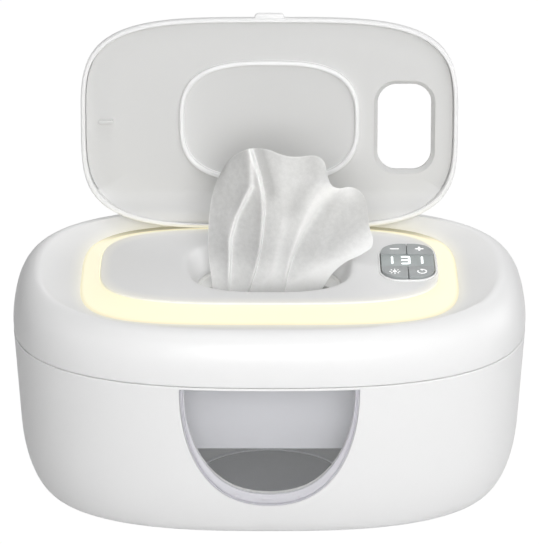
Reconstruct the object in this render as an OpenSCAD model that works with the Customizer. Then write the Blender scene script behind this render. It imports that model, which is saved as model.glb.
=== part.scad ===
// Baby wipe warmer with a clear front window, a lit deck and a leaning lid.
// Millimetres. X runs across the front, Y to the rear and Z up. The origin is on the
// table under the middle of the case. The lid is drawn shut and then swung open.

/* [Case] */
// Overall width of the case
case_w = 240; // [232:1:256]
// Front to back depth of the case
case_d = 146.8; // [144:0.2:152]
// Roundness of the case outline, where 2 is an ellipse and more is squarer
case_n = 2.65; // [2.4:0.05:2.9]
// Thickness of the case walls
wall = 2.4; // [2:0.1:2.8]
// Thickness of the tank floor
floor_t = 2.6; // [2:0.1:4]
// Height of the seam between the two halves of the case
seam_z = 84; // [83:0.5:88]
// Open line between the two halves
seam_gap = 0.4; // [0.3:0.05:0.8]
// How much the wall draws in from the seam down to the floor
taper = 3.8; // [2:0.1:5]
// Height of the round under the case
under_h = 36; // [30:1:40]
// Width of the round under the case
under_w = 13; // [10:0.5:20]
// How far the feet stand out under the case
foot_h = 1; // [0.8:0.1:2]
// Radius of a foot
foot_r = 8; // [6:0.5:10]

/* [Shoulder and deck] */
// Height from the seam to the widest line of the upper half
belly_h = 4; // [3:0.5:6]
// Height from the seam to the crest of the shoulder
crest_h = 27.8; // [27:0.1:28.6]
// How far the crest lies in from the widest line
crest_in = 12; // [10:0.5:13]
// Height from the seam to the deck
deck_h = 26.8; // [26.4:0.1:27.4]
// How far the deck edge lies inside the edge of the lid
deck_in = 10.4; // [10:0.1:11]
// Roundness of the deck outline
deck_n = 3.6; // [3.2:0.1:4]
// Distance of the deck and lid centres behind the case centre
deck_y = 0.6; // [0:0.1:1]
// Thickness of the deck
deck_t = 2.2; // [1.8:0.1:2.6]
// Width of the lit band beside the deck
glow_w = 7.2; // [6.6:0.1:7.6]
// Width of the lit band in front of the deck and behind it
glow_d = 12.6; // [11.8:0.2:13]
// How far the lit band falls from the deck to its outer edge
glow_fall = 3.9; // [3.4:0.1:4.2]
// Width of the dish that the wipe comes out of
dish_w = 79; // [76:1:81]
// Depth of the dish from front to back
dish_d = 57; // [54:1:59]
// How far the dish goes down
dish_h = 10.4; // [9:0.2:11]
// Width of the slot for the wipe
slot_w = 58; // [54:1:60]
// Slot size from front to back
slot_d = 17; // [15:0.5:20]

/* [Lid] */
// Width of the lid
lid_w = 179.6; // [178:0.4:181]
// Depth of the lid
lid_d = 101.8; // [101:0.2:103]
// Roundness of the lid outline
lid_n = 3.8; // [3.4:0.05:4]
// Height of the lid from its rim to its top
lid_h = 9.9; // [9.4:0.1:10.6]
// Depth of the lid from its rim to its liner
lid_hollow = 5.7; // [5.4:0.1:5.9]
// Thickness of the lid walls
lid_wall = 2; // [1.6:0.1:2.2]
// Radius of the round at the top edge of the lid
lid_round = 5; // [4.6:0.1:5.2]
// Angle that the open lid has turned through
lid_open = 102.6; // [96:0.2:103]
// Height of the shut rim below the deck
rim_drop = 2.2; // [1.6:0.1:2.3]
// Distance of the hinge inside the rear edge of the lid
hinge_in = 4.3; // [4.2:0.05:4.6]
// Height of the hinge above the deck
hinge_up = 2; // [1.9:0.05:2.3]
// Radius of the hinge pin
pin_r = 1; // [0.8:0.05:1.1]
// Radius of the hinge barrel on the lid
barrel_r = 3.3; // [3:0.05:3.35]
// Running clearance of every pin in its bore
pin_fit = 0.05; // [0.02:0.01:0.09]
// Width of the hole in the lid over the buttons
cutout_w = 25.6; // [24:0.2:28]
// Depth of the hole in the lid over the buttons
cutout_d = 41.5; // [40:0.5:44]

/* [Buttons] */
// Width of the button panel
panel_w = 25.8; // [24:0.2:27]
// Depth of the button panel
panel_d = 38.5; // [36:0.5:40]
// Distance of the panel to the right of the case centre
panel_x = 64.4; // [63:0.2:65]
// Distance of the panel behind the case centre
panel_y = 3.1; // [2:0.1:4]
// How far the buttons stand above the deck
button_rise = 2.2; // [1.6:0.1:2.6]
// Travel of a button
button_travel = 0.8; // [0.5:0.1:1]
// Open line round each button
button_gap = 0.35; // [0.3:0.05:0.5]
// Depth of the display row from front to back
display_d = 11.6; // [10:0.2:13]

/* [Window] */
// Width of the window at its top
window_w = 81.8; // [76:0.2:84]
// Height of the window
window_h = 61; // [56:0.5:62]
// Roundness of the window outline
window_n = 2.25; // [2.1:0.05:2.6]
// Width of the window frame at the sides
frame_w = 2.3; // [2:0.1:3]
// Width of the window frame at the bottom
frame_foot = 6.4; // [5:0.2:8]
// Height of the bar over the window
bar_h = 2; // [1.6:0.1:3]

/* [Inside] */
// Width of the basket for the wipes
basket_w = 176; // [168:1:180]
// Depth of the basket for the wipes
basket_d = 92; // [86:1:94]
// Height of the underside of the basket above the table
basket_z = 38.4; // [34:0.2:42]
// Thickness of the basket
basket_t = 1.6; // [1.2:0.1:2]
// Clearance round the stack of wipes
stack_fit = 1.2; // [0.6:0.1:2]
// Width of the warming plate
heater_w = 196; // [180:1:200]
// Depth of the warming plate
heater_d = 104; // [96:1:108]
// Thickness of the warming plate
heater_t = 1.2; // [1:0.1:1.4]
// Thickness of the plate under the deck that carries the electrics
cover_t = 1.8; // [1.5:0.1:2]
// Number of lamps in the lit band
lamp_count = 24; // [16:2:32]
// Radius of the body of a screw
screw_r = 1.3; // [1.1:0.1:1.4]

/* [Wipe] */
// Width of the wipe in the slot
wipe_w = 48; // [44:1:52]
// Height of the wipe above the deck
wipe_h = 57; // [50:1:60]
// Thickness of the folded wipe
wipe_t = 1.2; // [1:0.1:1.6]

/* [Hidden] */
$fn = 48;
points = 72;
snug = 0.3;

half_w = case_w / 2;
half_d = case_d / 2;
floor_z = foot_h + floor_t;
top_z = seam_z + seam_gap;
belly_z = seam_z + belly_h;
crest_z = seam_z + crest_h;
foot_seat = 1;
foot_x = half_w - taper - under_w - 38;
foot_y = half_d - taper - under_w - 24;

deck_w = lid_w - 2 * deck_in;
deck_d = lid_d - 2 * deck_in;
deck_z = seam_z + deck_h;
glow_z = deck_z - glow_fall;
deck_back = deck_y + deck_d / 2;
glow_gap = 0.35;
ring_a = deck_w / 2 + glow_w + 0.4;
ring_b = deck_d / 2 + glow_d + 0.4;
dish_n = 2.7;
dish_z = deck_z - dish_h;
ear_l = 6;
ear_x = 21;
ear_r = 3.2;
boss_r = 3.4;
cover_bosses = [for (x = [-1, 1], y = [-1, 1]) [x * (ring_a + 3.6), deck_y + y * 0.45 * ring_b]];
deck_bosses = [for (x = [-1, 1], y = [-1, 1]) [x * (deck_w / 2 - 22.4), deck_y + y * (deck_d / 2 - 12)]];

hinge_y = deck_y + lid_d / 2 - hinge_in;
hinge_z = deck_z + hinge_up;
rim_z = deck_z - rim_drop;
lid_top = rim_z + lid_h;
lid_skin = 1.9;
liner_z = rim_z + lid_hollow;
liner_t = 1.5;
collar_t = 1.2;
cutout_r = 9;
roll_w = 64;
pin_l = 2 * roll_w - 12;
tab_w = 14.2;
tab_d = 2.3;
tab_t = 2.6;
hook_l = 7;
hook_t = 1.6;
rib_t = 2;

rear_y = half_d + 0.2;
rear_z = seam_z + seam_gap / 2;
rear_r = 2.3;
rear_pin_r = 0.9;
knuckle_l = 12;
knuckle_gap = 0.4;
knuckles = 5;

window_z = seam_z - bar_h;
window_cut = 30;
lens_in = 0.35;
lens_t = 1.6;
lens_fit = 0.1;

pad_w = 68;
pad_d = 49.4;
pad_y = -12.5;
pad_t = 1.2;
pad_rim = 1.6;
pad_rim_h = 1.8;
basket_r = 14;
basket_top = seam_z - 2.6;
leg_r = 4;
leg_in = 18;
stack_drop = 1.4;
seal_h = 2;
seal_w = 1.6;
seal_press = 0.1;

heater_z = top_z + 0.2;
heater_r = 30;
film_t = 0.4;
film_in = 2;
blanket_t = 2;
film_z = heater_z + heater_t;
blanket_z = film_z + film_t;
cover_z = blanket_z + blanket_t;
cover_top = cover_z + cover_t;
well_w = dish_w - 10;
well_d = dish_d - 12;
gate_t = 1.2;
gate_z = dish_z - 3.4;

panel_r = 8;
bezel_lip = 1.3;
bezel_t = 1;
key_w = panel_w - 2 * bezel_lip;
key_d = panel_d - 2 * bezel_lip;
key_r = panel_r - bezel_lip;
key_z = deck_z - 3.4;
key_top = deck_z + button_rise;
display_t = 1.6;
display_z = key_top - 0.3 - display_t;
switch_w = 5;
switch_step = 0.8;
plunger_r = 1.5;

board_t = 1.6;
lamp_z = glow_z - 6.4;
lamp_w = 3.4;
lamp_t = 1.4;
lamp_a = deck_w / 2 + 0.8;
lamp_b = deck_d / 2 + 3.8;
control_z = deck_z - 11;
control_in = 1.7;
post_r = 2;
main_w = 26;
main_d = deck_d - 34;
main_x = -well_w / 2 - 9.5 - main_w / 2;
main_lift = 3;
main_z = cover_top + main_lift;
main_top = main_z + board_t;
fuse_x = main_x - main_w / 2 - 14;
fuse_y = 12;
fuse_r = 2;
fuse_l = 11;
sensor_r = 1.6;
sensor_l = 7;
head_t = 1.4;
cover_screw_l = 9;
deck_screw_l = 11;

jack_x = -50;
jack_y = half_d - 3.4;
jack_z = seam_z + 13;
jack_r = 5;
jack_bore = 2.8;
jack_pin = 1.05;
jack_deep = 10;
jack_nose = 7;
jack_body = 8.6;
jack_w = 11;

wire_r = 0.7;
wire_sides = 8;
wire_z = main_top + 2.4;

wipe_cols = 34;
wipe_rows = 13;
wipe_foot = gate_z - 5;

// A power that keeps the sign of its base.
function spow(v, e) = sign(v) * pow(abs(v), e);

// A rounded outline, squarer as n grows.
function outline(a, b, n) =
  [for (i = [0:points - 1]) let (t = 360 * i / points) [a * spow(cos(t), 2 / n), b * spow(sin(t), 2 / n)]];

// The same outline as one level of a loft.
function level(a, b, n, z, y = 0) = [for (p = outline(a, b, n)) [p[0], p[1] + y, z]];

// The two triangles of each cell between two levels.
function band(k, m) = [for (i = [0:points - 1]) let (j = (i + 1) % points)
  each [[k * points + i, m * points + i, m * points + j], [k * points + i, m * points + j, k * points + j]]];

// A solid through a list of levels, closed at the first and at the last.
module loft(levels) {
  last = len(levels) - 1;
  polyhedron([for (l = levels) each l],
    concat([for (k = [0:last - 1]) each band(k, k + 1)],
      [[for (i = [0:points - 1]) i], [for (i = [0:points - 1]) (last + 1) * points - 1 - i]]),
    convexity = 6);
}

// A solid through a ring of levels, with a hole down its middle.
module loop_loft(levels) {
  polyhedron([for (l = levels) each l],
    [for (k = [0:len(levels) - 1]) each band(k, (k + 1) % len(levels))], convexity = 6);
}

// A flat plate with a rounded outline.
module plate(a, b, n, z, t, y = 0) {
  translate([0, y, z]) linear_extrude(t) polygon(outline(a, b, n));
}

// A rectangle with round corners.
module soft_rect(w, d, r) {
  square([w - 2 * r, d], center = true);
  square([w, d - 2 * r], center = true);
  for (x = [-1, 1], y = [-1, 1]) translate([x * (w / 2 - r), y * (d / 2 - r)]) circle(r);
}

// A round bar along X from x0 to x1.
module bar(x0, x1, y, z, r) {
  translate([x0, y, z]) rotate([0, 90, 0]) cylinder(r = r, h = x1 - x0);
}

// How far the lower wall lies inside the widest outline at a height on its round.
function under_in(a) = under_w * (1 - cos(a));
function under_z(z, h, a) = z + h * (1 - sin(a));
function taper_in(z) = taper * (seam_z - z) / seam_z;

// One level of the lower case, t inside its outer face.
function case_level(z, more, t) =
  level(half_w - taper_in(z) - more - t, half_d - taper_in(z) - more - t, case_n, z);

// The lower wall between two depths below its outer face, for pieces set in it.
module wall_band(t0, t1, z0, z1) {
  function at(z, t) = z >= under_h + foot_h ? case_level(z, 0, t)
    : let (a = asin((under_h + foot_h - z) / under_h)) case_level(z, under_in(a), t);
  zs = [for (i = [0:5]) z0 + (z1 - z0) * i / 5];
  loop_loft(concat([for (z = zs) at(z, t0)], [for (i = [5:-1:0]) at(zs[i], t1)]));
}

// The outline of the window, drawn flat, t inside its edge.
module window_shape(t, foot) {
  a = window_w / 2 - t;
  h = window_h - foot;
  polygon([for (i = [0:24]) let (s = -90 + 180 * i / 24)
    [a * spow(sin(s), 2 / window_n), -h * pow(max(cos(s), 0.0001), 2 / window_n)]]);
}

// The window outline pushed through the front wall, drop below the top edge of the window.
module window_hole(t, foot, drop = 0) {
  translate([0, window_cut - half_d, window_z - drop]) rotate([90, 0, 0])
    linear_extrude(window_cut + 10) window_shape(t, foot + drop);
}

// The wall from t0 to t1 deep, as far up and down as the window needs.
module window_wall(t0, t1) {
  wall_band(t0, t1, window_z - window_h - 1, window_z + 1);
}

// A row of rear hinge knuckles, either the even or the odd ones.
module rear_knuckles(first, r, grow) {
  for (k = [first:2:knuckles - 1]) {
    x = (k - knuckles / 2) * knuckle_l;
    bar(x + knuckle_gap / 2 - grow, x + knuckle_l - knuckle_gap / 2 + grow, rear_y, rear_z, r);
  }
}

// The bore for the rear hinge pin.
module rear_bore() {
  l = knuckles * knuckle_l;
  bar(-l / 2 - 1, l / 2 + 1, rear_y, rear_z, rear_pin_r + pin_fit);
}

module lower_shell() {
  inner_h = under_h - floor_t;
  outer = [for (a = [90:-15:0]) case_level(under_z(foot_h, under_h, a), under_in(a), 0)];
  inner = [for (a = [0:18:90]) case_level(under_z(floor_z, inner_h, a), under_in(a), wall)];
  color("white") difference() {
    union() {
      loft(concat(outer, [case_level(seam_z, 0, 0), case_level(seam_z, 0, wall)], inner));
      rear_knuckles(0, rear_r, 0);
    }
    rear_knuckles(1, rear_r + snug, knuckle_gap / 2);
    rear_bore();
    window_hole(0, 0);
    for (x = [-1, 1], y = [-1, 1]) translate([x * foot_x, y * foot_y, foot_h - 1])
      cylinder(r = foot_r + 0.2, h = 1 + foot_seat);
  }
}

module feet() {
  color("gainsboro") for (x = [-1, 1], y = [-1, 1]) translate([x * foot_x, y * foot_y, 0])
    cylinder(r = foot_r, h = foot_h + foot_seat);
}

module window_frame() {
  color("lightgrey") difference() {
    intersection() {
      window_wall(0, lens_in + lens_t);
      window_hole(0.2, 0.2, lens_fit);
    }
    window_hole(frame_w, frame_foot);
  }
}

module window_lens() {
  color("aliceblue") intersection() {
    window_wall(lens_in, lens_in + lens_t);
    window_hole(frame_w + lens_fit, frame_foot + lens_fit, lens_fit);
  }
}

module window_gasket() {
  color("whitesmoke") difference() {
    intersection() {
      window_wall(lens_in + lens_t + 0.05, wall + 1);
      window_hole(0.3, 0.3, lens_fit);
    }
    window_hole(frame_w, frame_foot);
  }
}

module moisture_pad() {
  color("dimgrey") plate(pad_w / 2, pad_d / 2, 2, floor_z, pad_t, pad_y);
}

module pad_ring() {
  color("silver") translate([0, pad_y, floor_z]) linear_extrude(pad_rim_h) difference() {
    polygon(outline(pad_w / 2 + pad_rim, pad_d / 2 + pad_rim, 2));
    polygon(outline(pad_w / 2 + 0.1, pad_d / 2 + 0.1, 2));
  }
}

module wipe_basket() {
  color("lavender") {
    difference() {
      translate([0, 0, basket_z]) linear_extrude(basket_top - basket_z)
        soft_rect(basket_w, basket_d, basket_r);
      translate([0, 0, basket_z + basket_t]) linear_extrude(basket_top - basket_z)
        soft_rect(basket_w - 2 * basket_t, basket_d - 2 * basket_t, basket_r - basket_t);
    }
    for (x = [-1, 1], y = [-1, 1])
      translate([x * (basket_w / 2 - leg_in), y * (basket_d / 2 - leg_in), floor_z])
        cylinder(r = leg_r, h = basket_z - floor_z);
  }
}

module wipe_stack() {
  edge = basket_t + stack_fit;
  color("white") translate([0, 0, basket_z + basket_t])
    linear_extrude(basket_top - basket_z - basket_t - stack_drop)
      soft_rect(basket_w - 2 * edge, basket_d - 2 * edge, basket_r - edge);
}

module rim_seal() {
  a = half_w - wall - 0.2;
  b = half_d - wall - 0.2;
  color("whitesmoke") translate([0, 0, seam_z - seal_h]) linear_extrude(seal_h + seal_press) difference() {
    polygon(outline(a, b, case_n));
    polygon(outline(a - seal_w, b - seal_w, case_n));
  }
}

module rear_hinge_pin() {
  l = knuckles * knuckle_l - 0.4;
  color("silver") bar(-l / 2, l / 2, rear_y, rear_z, rear_pin_r);
}

module upper_shell() {
  rise = crest_z - belly_z;
  crest_a = half_w - crest_in - 1.6;
  crest_b = half_d - crest_in - 1.4;
  // The underside of the slope, most of the way from the deck hole to the crest.
  slope_a = ring_a + 0.72 * (crest_a - ring_a) + 1.2;
  slope_b = ring_b + 0.72 * (crest_b - ring_b) + 1.2;
  function outer_at(a) = level(half_w - crest_in * (1 - cos(a)), half_d - crest_in * (1 - cos(a)),
    case_n, belly_z + rise * sin(a));
  function inner_at(a) = let (t = wall + (crest_in - 1.2) * (1 - cos(a)))
    level(half_w - t, half_d - t, case_n, belly_z + (rise - wall) * sin(a));
  color("white") difference() {
    union() {
      loop_loft(concat(
        [level(half_w - 0.2, half_d - 0.2, case_n, top_z)],
        [for (a = [0:15:75]) outer_at(a)],
        [level(half_w - crest_in + 0.4, half_d - crest_in + 0.4, case_n, crest_z - 0.1)],
        [level(crest_a, crest_b, case_n, crest_z - 0.25)],
        [level(ring_a, ring_b, deck_n, glow_z, deck_y)],
        [level(ring_a, ring_b, deck_n, glow_z - 2.2, deck_y)],
        [level(slope_a, slope_b, case_n, crest_z - wall - 0.4)],
        [for (a = [72:-18:0]) inner_at(a)],
        [level(half_w - wall, half_d - wall, case_n, top_z)]));
      rear_knuckles(1, rear_r, 0);
      for (p = cover_bosses) translate([p[0], p[1], cover_top])
        cylinder(r = boss_r, h = glow_z + 0.1 - cover_top);
    }
    rear_knuckles(0, rear_r + snug, knuckle_gap / 2);
    rear_bore();
    for (p = cover_bosses) translate([p[0], p[1], cover_top - 1])
      cylinder(r = screw_r + pin_fit, h = cover_screw_l + 1);
    translate([jack_x, jack_y + 1, jack_z]) rotate([90, 0, 0]) cylinder(r = jack_r + 0.2, h = 8);
  }
}

module deck_body() {
  a = deck_w / 2;
  b = deck_d / 2;
  p = dish_w / 2;
  q = dish_d / 2;
  n = dish_n;
  under = deck_z - deck_t;
  skirt = deck_z - 3.2;
  loop_loft([
    level(a - 0.1, b - 0.1, deck_n, skirt, deck_y),
    level(a, b, deck_n, deck_z - 0.6, deck_y),
    level(a - 0.6, b - 0.6, deck_n, deck_z, deck_y),
    level(p + 0.5, q + 0.5, n, deck_z),
    level(p - 0.8, q - 0.8, n, deck_z - 0.9),
    level(p - 2.9, q - 3.2, n, deck_z - dish_h * 0.42),
    level(p - 4.6, q - 5.2, n, deck_z - dish_h * 0.8),
    level(p - 5.8, q - 6.4, n, dish_z),
    level(p - 5.8, q - 6.4, n, dish_z - 1.2),
    level(p - 3.8, q - 4.4, n, dish_z - 1.2),
    level(p - 2.6, q - 3, n, deck_z - dish_h * 0.8),
    level(p - 0.6, q - 0.8, n, deck_z - dish_h * 0.42),
    level(p + 2, q + 2, n, under),
    level(a - 1.8, b - 1.8, deck_n, under, deck_y),
    level(a - 1.8, b - 1.8, deck_n, skirt, deck_y)]);
}

// The two ears that stand behind the deck and carry the pin of the lid.
module lid_ears() {
  arm_top = liner_z - snug;
  foot_l = 4;
  for (x = [-1, 1]) {
    bar(x * ear_x - ear_l / 2, x * ear_x + ear_l / 2, hinge_y, hinge_z, ear_r);
    translate([x * ear_x - ear_l / 2, deck_back - foot_l, deck_z - 1])
      cube([ear_l, foot_l - 0.2, arm_top - deck_z + 1]);
    translate([x * ear_x - ear_l / 2, deck_back - foot_l, deck_z + snug])
      cube([ear_l, hinge_y - deck_back + foot_l, arm_top - deck_z - snug]);
  }
}

module deck() {
  color("white") difference() {
    union() {
      deck_body();
      lid_ears();
      for (p = deck_bosses) translate([p[0], p[1], cover_top])
        cylinder(r = boss_r, h = deck_z - deck_t / 2 - cover_top);
    }
    translate([panel_x, panel_y, control_z - 1]) linear_extrude(deck_z - control_z + 2)
      soft_rect(key_w, key_d, key_r);
    bar(-ear_x - ear_l, ear_x + ear_l, hinge_y, hinge_z, pin_r + pin_fit);
    for (p = deck_bosses) translate([p[0], p[1], cover_top - 1])
      cylinder(r = screw_r + pin_fit, h = deck_screw_l + 1);
  }
}

module light_ring() {
  a = deck_w / 2;
  b = deck_d / 2;
  flange_z = deck_z - 3.6;
  color("lightyellow") loop_loft([
    level(a + glow_w, b + glow_d, deck_n, glow_z - 2, deck_y),
    level(a + glow_w, b + glow_d, deck_n, glow_z - 0.1, deck_y),
    level(a + glow_gap, b + glow_gap, deck_n, deck_z - 0.3, deck_y),
    level(a + glow_gap, b + glow_gap, deck_n, flange_z, deck_y),
    level(a - 1.5, b - 1.5, deck_n, flange_z, deck_y),
    level(a - 1.5, b - 1.5, deck_n, flange_z - 1.6, deck_y),
    level(a + 0.6, b + 0.6, deck_n, flange_z - 1.6, deck_y)]);
}

module lamp_board() {
  color("seagreen") translate([0, deck_y, lamp_z]) linear_extrude(board_t) difference() {
    polygon(outline(lamp_a + 3.6, lamp_b + 4.6, deck_n));
    polygon(outline(lamp_a - 3.8, lamp_b - 4.8, deck_n));
  }
}

// A place on the ring of lamps.
function lamp_place(t) = [lamp_a * spow(cos(t), 2 / deck_n), deck_y + lamp_b * spow(sin(t), 2 / deck_n)];

module lamps() {
  color("ivory") for (i = [0:lamp_count - 1])
    translate([0, 0, lamp_z + board_t]) linear_extrude(lamp_t)
      translate(lamp_place(360 * (i + 0.5) / lamp_count)) square(lamp_w, center = true);
}

// The well round the wipe, from the cover up to the gate.
module well(grow, z, h) {
  translate([0, 0, z]) linear_extrude(h) polygon(outline(well_w / 2 + grow, well_d / 2 + grow, dish_n));
}

// A short round post that stands on the cover.
module post(p, r, top) {
  translate([p[0], p[1], cover_top]) cylinder(r = r, h = top - cover_top);
}

module electrics_cover() {
  a = half_w - wall - 0.4;
  b = half_d - wall - 0.4;
  color("whitesmoke") difference() {
    union() {
      plate(a, b, case_n, cover_z, cover_t);
      well(0, cover_top, gate_z - cover_top - 0.2);
      for (t = [0:45:315]) post(lamp_place(t), post_r, lamp_z);
      for (x = [-1, 1], y = [-1, 1])
        post([main_x + x * (main_w / 2 - 3), deck_y + y * (main_d / 2 - 4)], post_r, main_z);
      for (y = [-1, 1]) post([panel_x, panel_y + y * (panel_d / 2 - 5)], post_r, control_z);
    }
    well(-1.6, cover_z - 1, gate_z - cover_z + 2);
    for (p = concat(cover_bosses, deck_bosses)) translate([p[0], p[1], cover_z - 1])
      cylinder(r = screw_r + 0.2, h = cover_t + 2);
  }
}

// A layer of the warming stack, with the hole for the wipe.
module warm_layer(inset, z, t) {
  translate([0, 0, z]) linear_extrude(t) difference() {
    soft_rect(heater_w - 2 * inset, heater_d - 2 * inset, heater_r);
    polygon(outline(well_w / 2 - 1.2, well_d / 2 - 1.2, dish_n));
    for (p = concat(cover_bosses, deck_bosses)) translate(p) circle(screw_r + 2.2);
  }
}

module insulation() {
  color("gainsboro") warm_layer(0, blanket_z, blanket_t);
}

module heater_film() {
  color("orange") warm_layer(film_in, film_z, film_t);
}

module heater_plate() {
  color("silver") warm_layer(0, heater_z, heater_t);
}

module thermal_fuse() {
  clip_w = 1.5;
  color("silver") translate([fuse_x, fuse_y, cover_top]) {
    translate([0, 0, fuse_r]) rotate([0, 90, 0]) cylinder(r = fuse_r, h = fuse_l);
    for (x = [0.2, 0.8]) translate([x * fuse_l - clip_w / 2, -clip_w, 0]) cube([clip_w, 2 * clip_w, fuse_r]);
  }
}

module temperature_sensor() {
  color("black") translate([fuse_x, -fuse_y, cover_top + sensor_r]) {
    rotate([0, 90, 0]) cylinder(r = sensor_r, h = sensor_l);
    translate([sensor_l, 0, 0]) sphere(sensor_r);
  }
}

module wipe_gate() {
  a = well_w / 2 - 0.4;
  b = well_d / 2 - 0.4;
  color("whitesmoke") difference() {
    union() {
      plate(a + gate_t, b + gate_t, dish_n, gate_z, gate_t);
      plate(a, b, dish_n, gate_z + gate_t, dish_z - gate_z - gate_t - 1.3);
    }
    plate(a - 1.6, b - 1.6, dish_n, gate_z + gate_t, 5);
    plate(slot_w / 2, slot_d / 2, 2.2, gate_z - 1, 4);
  }
}

module keypad_bezel() {
  color("white") translate([panel_x, panel_y, deck_z]) linear_extrude(bezel_t) difference() {
    soft_rect(panel_w, panel_d, panel_r);
    soft_rect(key_w, key_d, key_r);
  }
}

// One key of the pad: x picks the side and y the row.
module key(x, y) {
  half_gap = button_gap / 2;
  row = display_d / 2 + half_gap;
  color("darkgrey") translate([panel_x, panel_y, key_z]) linear_extrude(key_top - key_z) intersection() {
    soft_rect(key_w - 2 * button_gap, key_d - 2 * button_gap, key_r - button_gap);
    translate([x > 0 ? half_gap : -key_w - half_gap, y > 0 ? row : -key_d - row]) square([key_w, key_d]);
  }
}

module minus_button() {
  key(-1, 1);
}

module plus_button() {
  key(1, 1);
}

module light_button() {
  key(-1, -1);
}

module power_button() {
  key(1, -1);
}

module display_lens() {
  color("slategrey") translate([panel_x, panel_y, display_z]) linear_extrude(display_t)
    square([key_w - 2 * button_gap, display_d - button_gap], center = true);
}

module display_module() {
  z = control_z + board_t;
  color("black") translate([panel_x, panel_y, z]) linear_extrude(display_z - 0.2 - z)
    square([key_w - 5.2, display_d - 2.4], center = true);
}

module control_board() {
  color("seagreen") translate([panel_x, panel_y, control_z]) linear_extrude(board_t)
    soft_rect(key_w - 2 * control_in, key_d - 1, 3);
}

module key_switches() {
  z = control_z + board_t;
  h = key_z - button_travel - 0.25 - z;
  color("black") for (x = [-1, 1], y = [-1, 1])
    translate([panel_x + x * key_w / 4, panel_y + y * (key_d / 4 + display_d / 4), z]) {
      linear_extrude(h - switch_step) square(switch_w, center = true);
      cylinder(r = plunger_r, h = h);
    }
}

module main_board() {
  color("seagreen") translate([main_x, deck_y, main_z]) linear_extrude(board_t)
    square([main_w, main_d], center = true);
}

// Two capacitors, a coil and a switch block on the main board.
module power_parts() {
  color("dimgrey") translate([main_x, deck_y, main_top]) {
    translate([-4, -0.34 * main_d, 0]) cylinder(r = 4, h = 7);
    translate([5, 0.08 * main_d, 0]) cylinder(r = 3, h = 6);
    translate([-9, 0.17 * main_d, 0]) cube([9, 9, 4]);
    translate([-6, -0.12 * main_d, 0]) cube([9, 6, 2.4]);
  }
}

// A ring of points round one point of a wire, square to the way it runs there.
function wire_ring(path, k, r) =
  let (run = path[min(k + 1, len(path) - 1)] - path[max(k - 1, 0)], d = run / norm(run),
    u = cross(d, abs(d[2]) > 0.9 ? [1, 0, 0] : [0, 0, 1]), e1 = u / norm(u), e2 = cross(d, e1))
  [for (i = [0:wire_sides - 1]) let (t = 360 * i / wire_sides) path[k] + r * (cos(t) * e1 + sin(t) * e2)];

// A wire along a list of points.
module wire(path) {
  n = wire_sides;
  last = len(path) - 1;
  polyhedron([for (k = [0:last]) each wire_ring(path, k, wire_r)],
    concat([for (k = [0:last - 1], i = [0:n - 1]) let (j = (i + 1) % n)
        each [[k * n + i, k * n + j, (k + 1) * n + j], [k * n + i, (k + 1) * n + j, (k + 1) * n + i]]],
      [[for (i = [n - 1:-1:0]) i], [for (i = [0:n - 1]) last * n + i]]), convexity = 6);
}

// The two points where a wire leaves the main board at p.
function wire_start(p) = [[p[0], p[1], main_top], [p[0], p[1], wire_z]];

// The two points where a wire comes down on z, or up to it, at p.
function wire_end(p, from, z) = [[p[0], p[1], from], [p[0], p[1], z]];

module wires() {
  lamp_wire = [main_x + 6.5, deck_y + 0.42 * main_d];
  jack_wire = [main_x + 11, deck_y + 0.36 * main_d];
  fuse_wire = [main_x - 11, deck_y + 0.3 * main_d];
  sensor_wire = [main_x - 11, deck_y - 0.3 * main_d];
  control_wire = [main_x + 11, deck_y - 0.4 * main_d];
  control_end = [panel_x - 6, panel_y - 14];
  well_y = well_d / 2 + 7;
  color("firebrick") {
    wire(concat(wire_start(lamp_wire), wire_end([lamp_wire[0], deck_back - 0.1], wire_z + 0.8, lamp_z)));
    wire(concat(wire_start(fuse_wire), wire_end([fuse_x + 8.5, fuse_y], wire_z, cover_top + 2 * fuse_r)));
    wire(concat(wire_start(sensor_wire), wire_end([fuse_x + 4, -fuse_y], wire_z, cover_top + 2 * sensor_r)));
    wire(concat(wire_start(jack_wire), [[jack_x + 4, jack_y - jack_nose - jack_body - 6, jack_z],
      [jack_x + 4, jack_y - jack_nose - jack_body, jack_z]]));
    wire(concat(wire_start(control_wire), [[main_x + 15, -well_y, wire_z], [42, -well_y, wire_z]],
      [[control_end[0], control_end[1] - 3, wire_z - 0.6]], wire_end(control_end, wire_z, control_z)));
  }
}

module dc_jack() {
  color("black") translate([jack_x, jack_y, jack_z]) rotate([90, 0, 0]) {
    difference() {
      union() {
        cylinder(r = jack_r, h = jack_nose + 1);
        translate([0, 0, jack_nose]) linear_extrude(jack_body) square(jack_w, center = true);
      }
      translate([0, 0, -1]) cylinder(r = jack_bore, h = jack_deep + 1);
    }
    translate([0, 0, 1]) cylinder(r = jack_pin, h = jack_deep);
  }
}

// A pan head screw driven up from below.
module screw_up(p, z, l) {
  translate([p[0], p[1], z - head_t]) cylinder(r = screw_r * 1.9, h = head_t);
  translate([p[0], p[1], z]) cylinder(r = screw_r, h = l);
}

module cover_screws() {
  color("silver") for (p = cover_bosses) screw_up(p, cover_z, cover_screw_l);
}

module deck_screws() {
  color("silver") for (p = deck_bosses) screw_up(p, cover_z, deck_screw_l);
}

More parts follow.
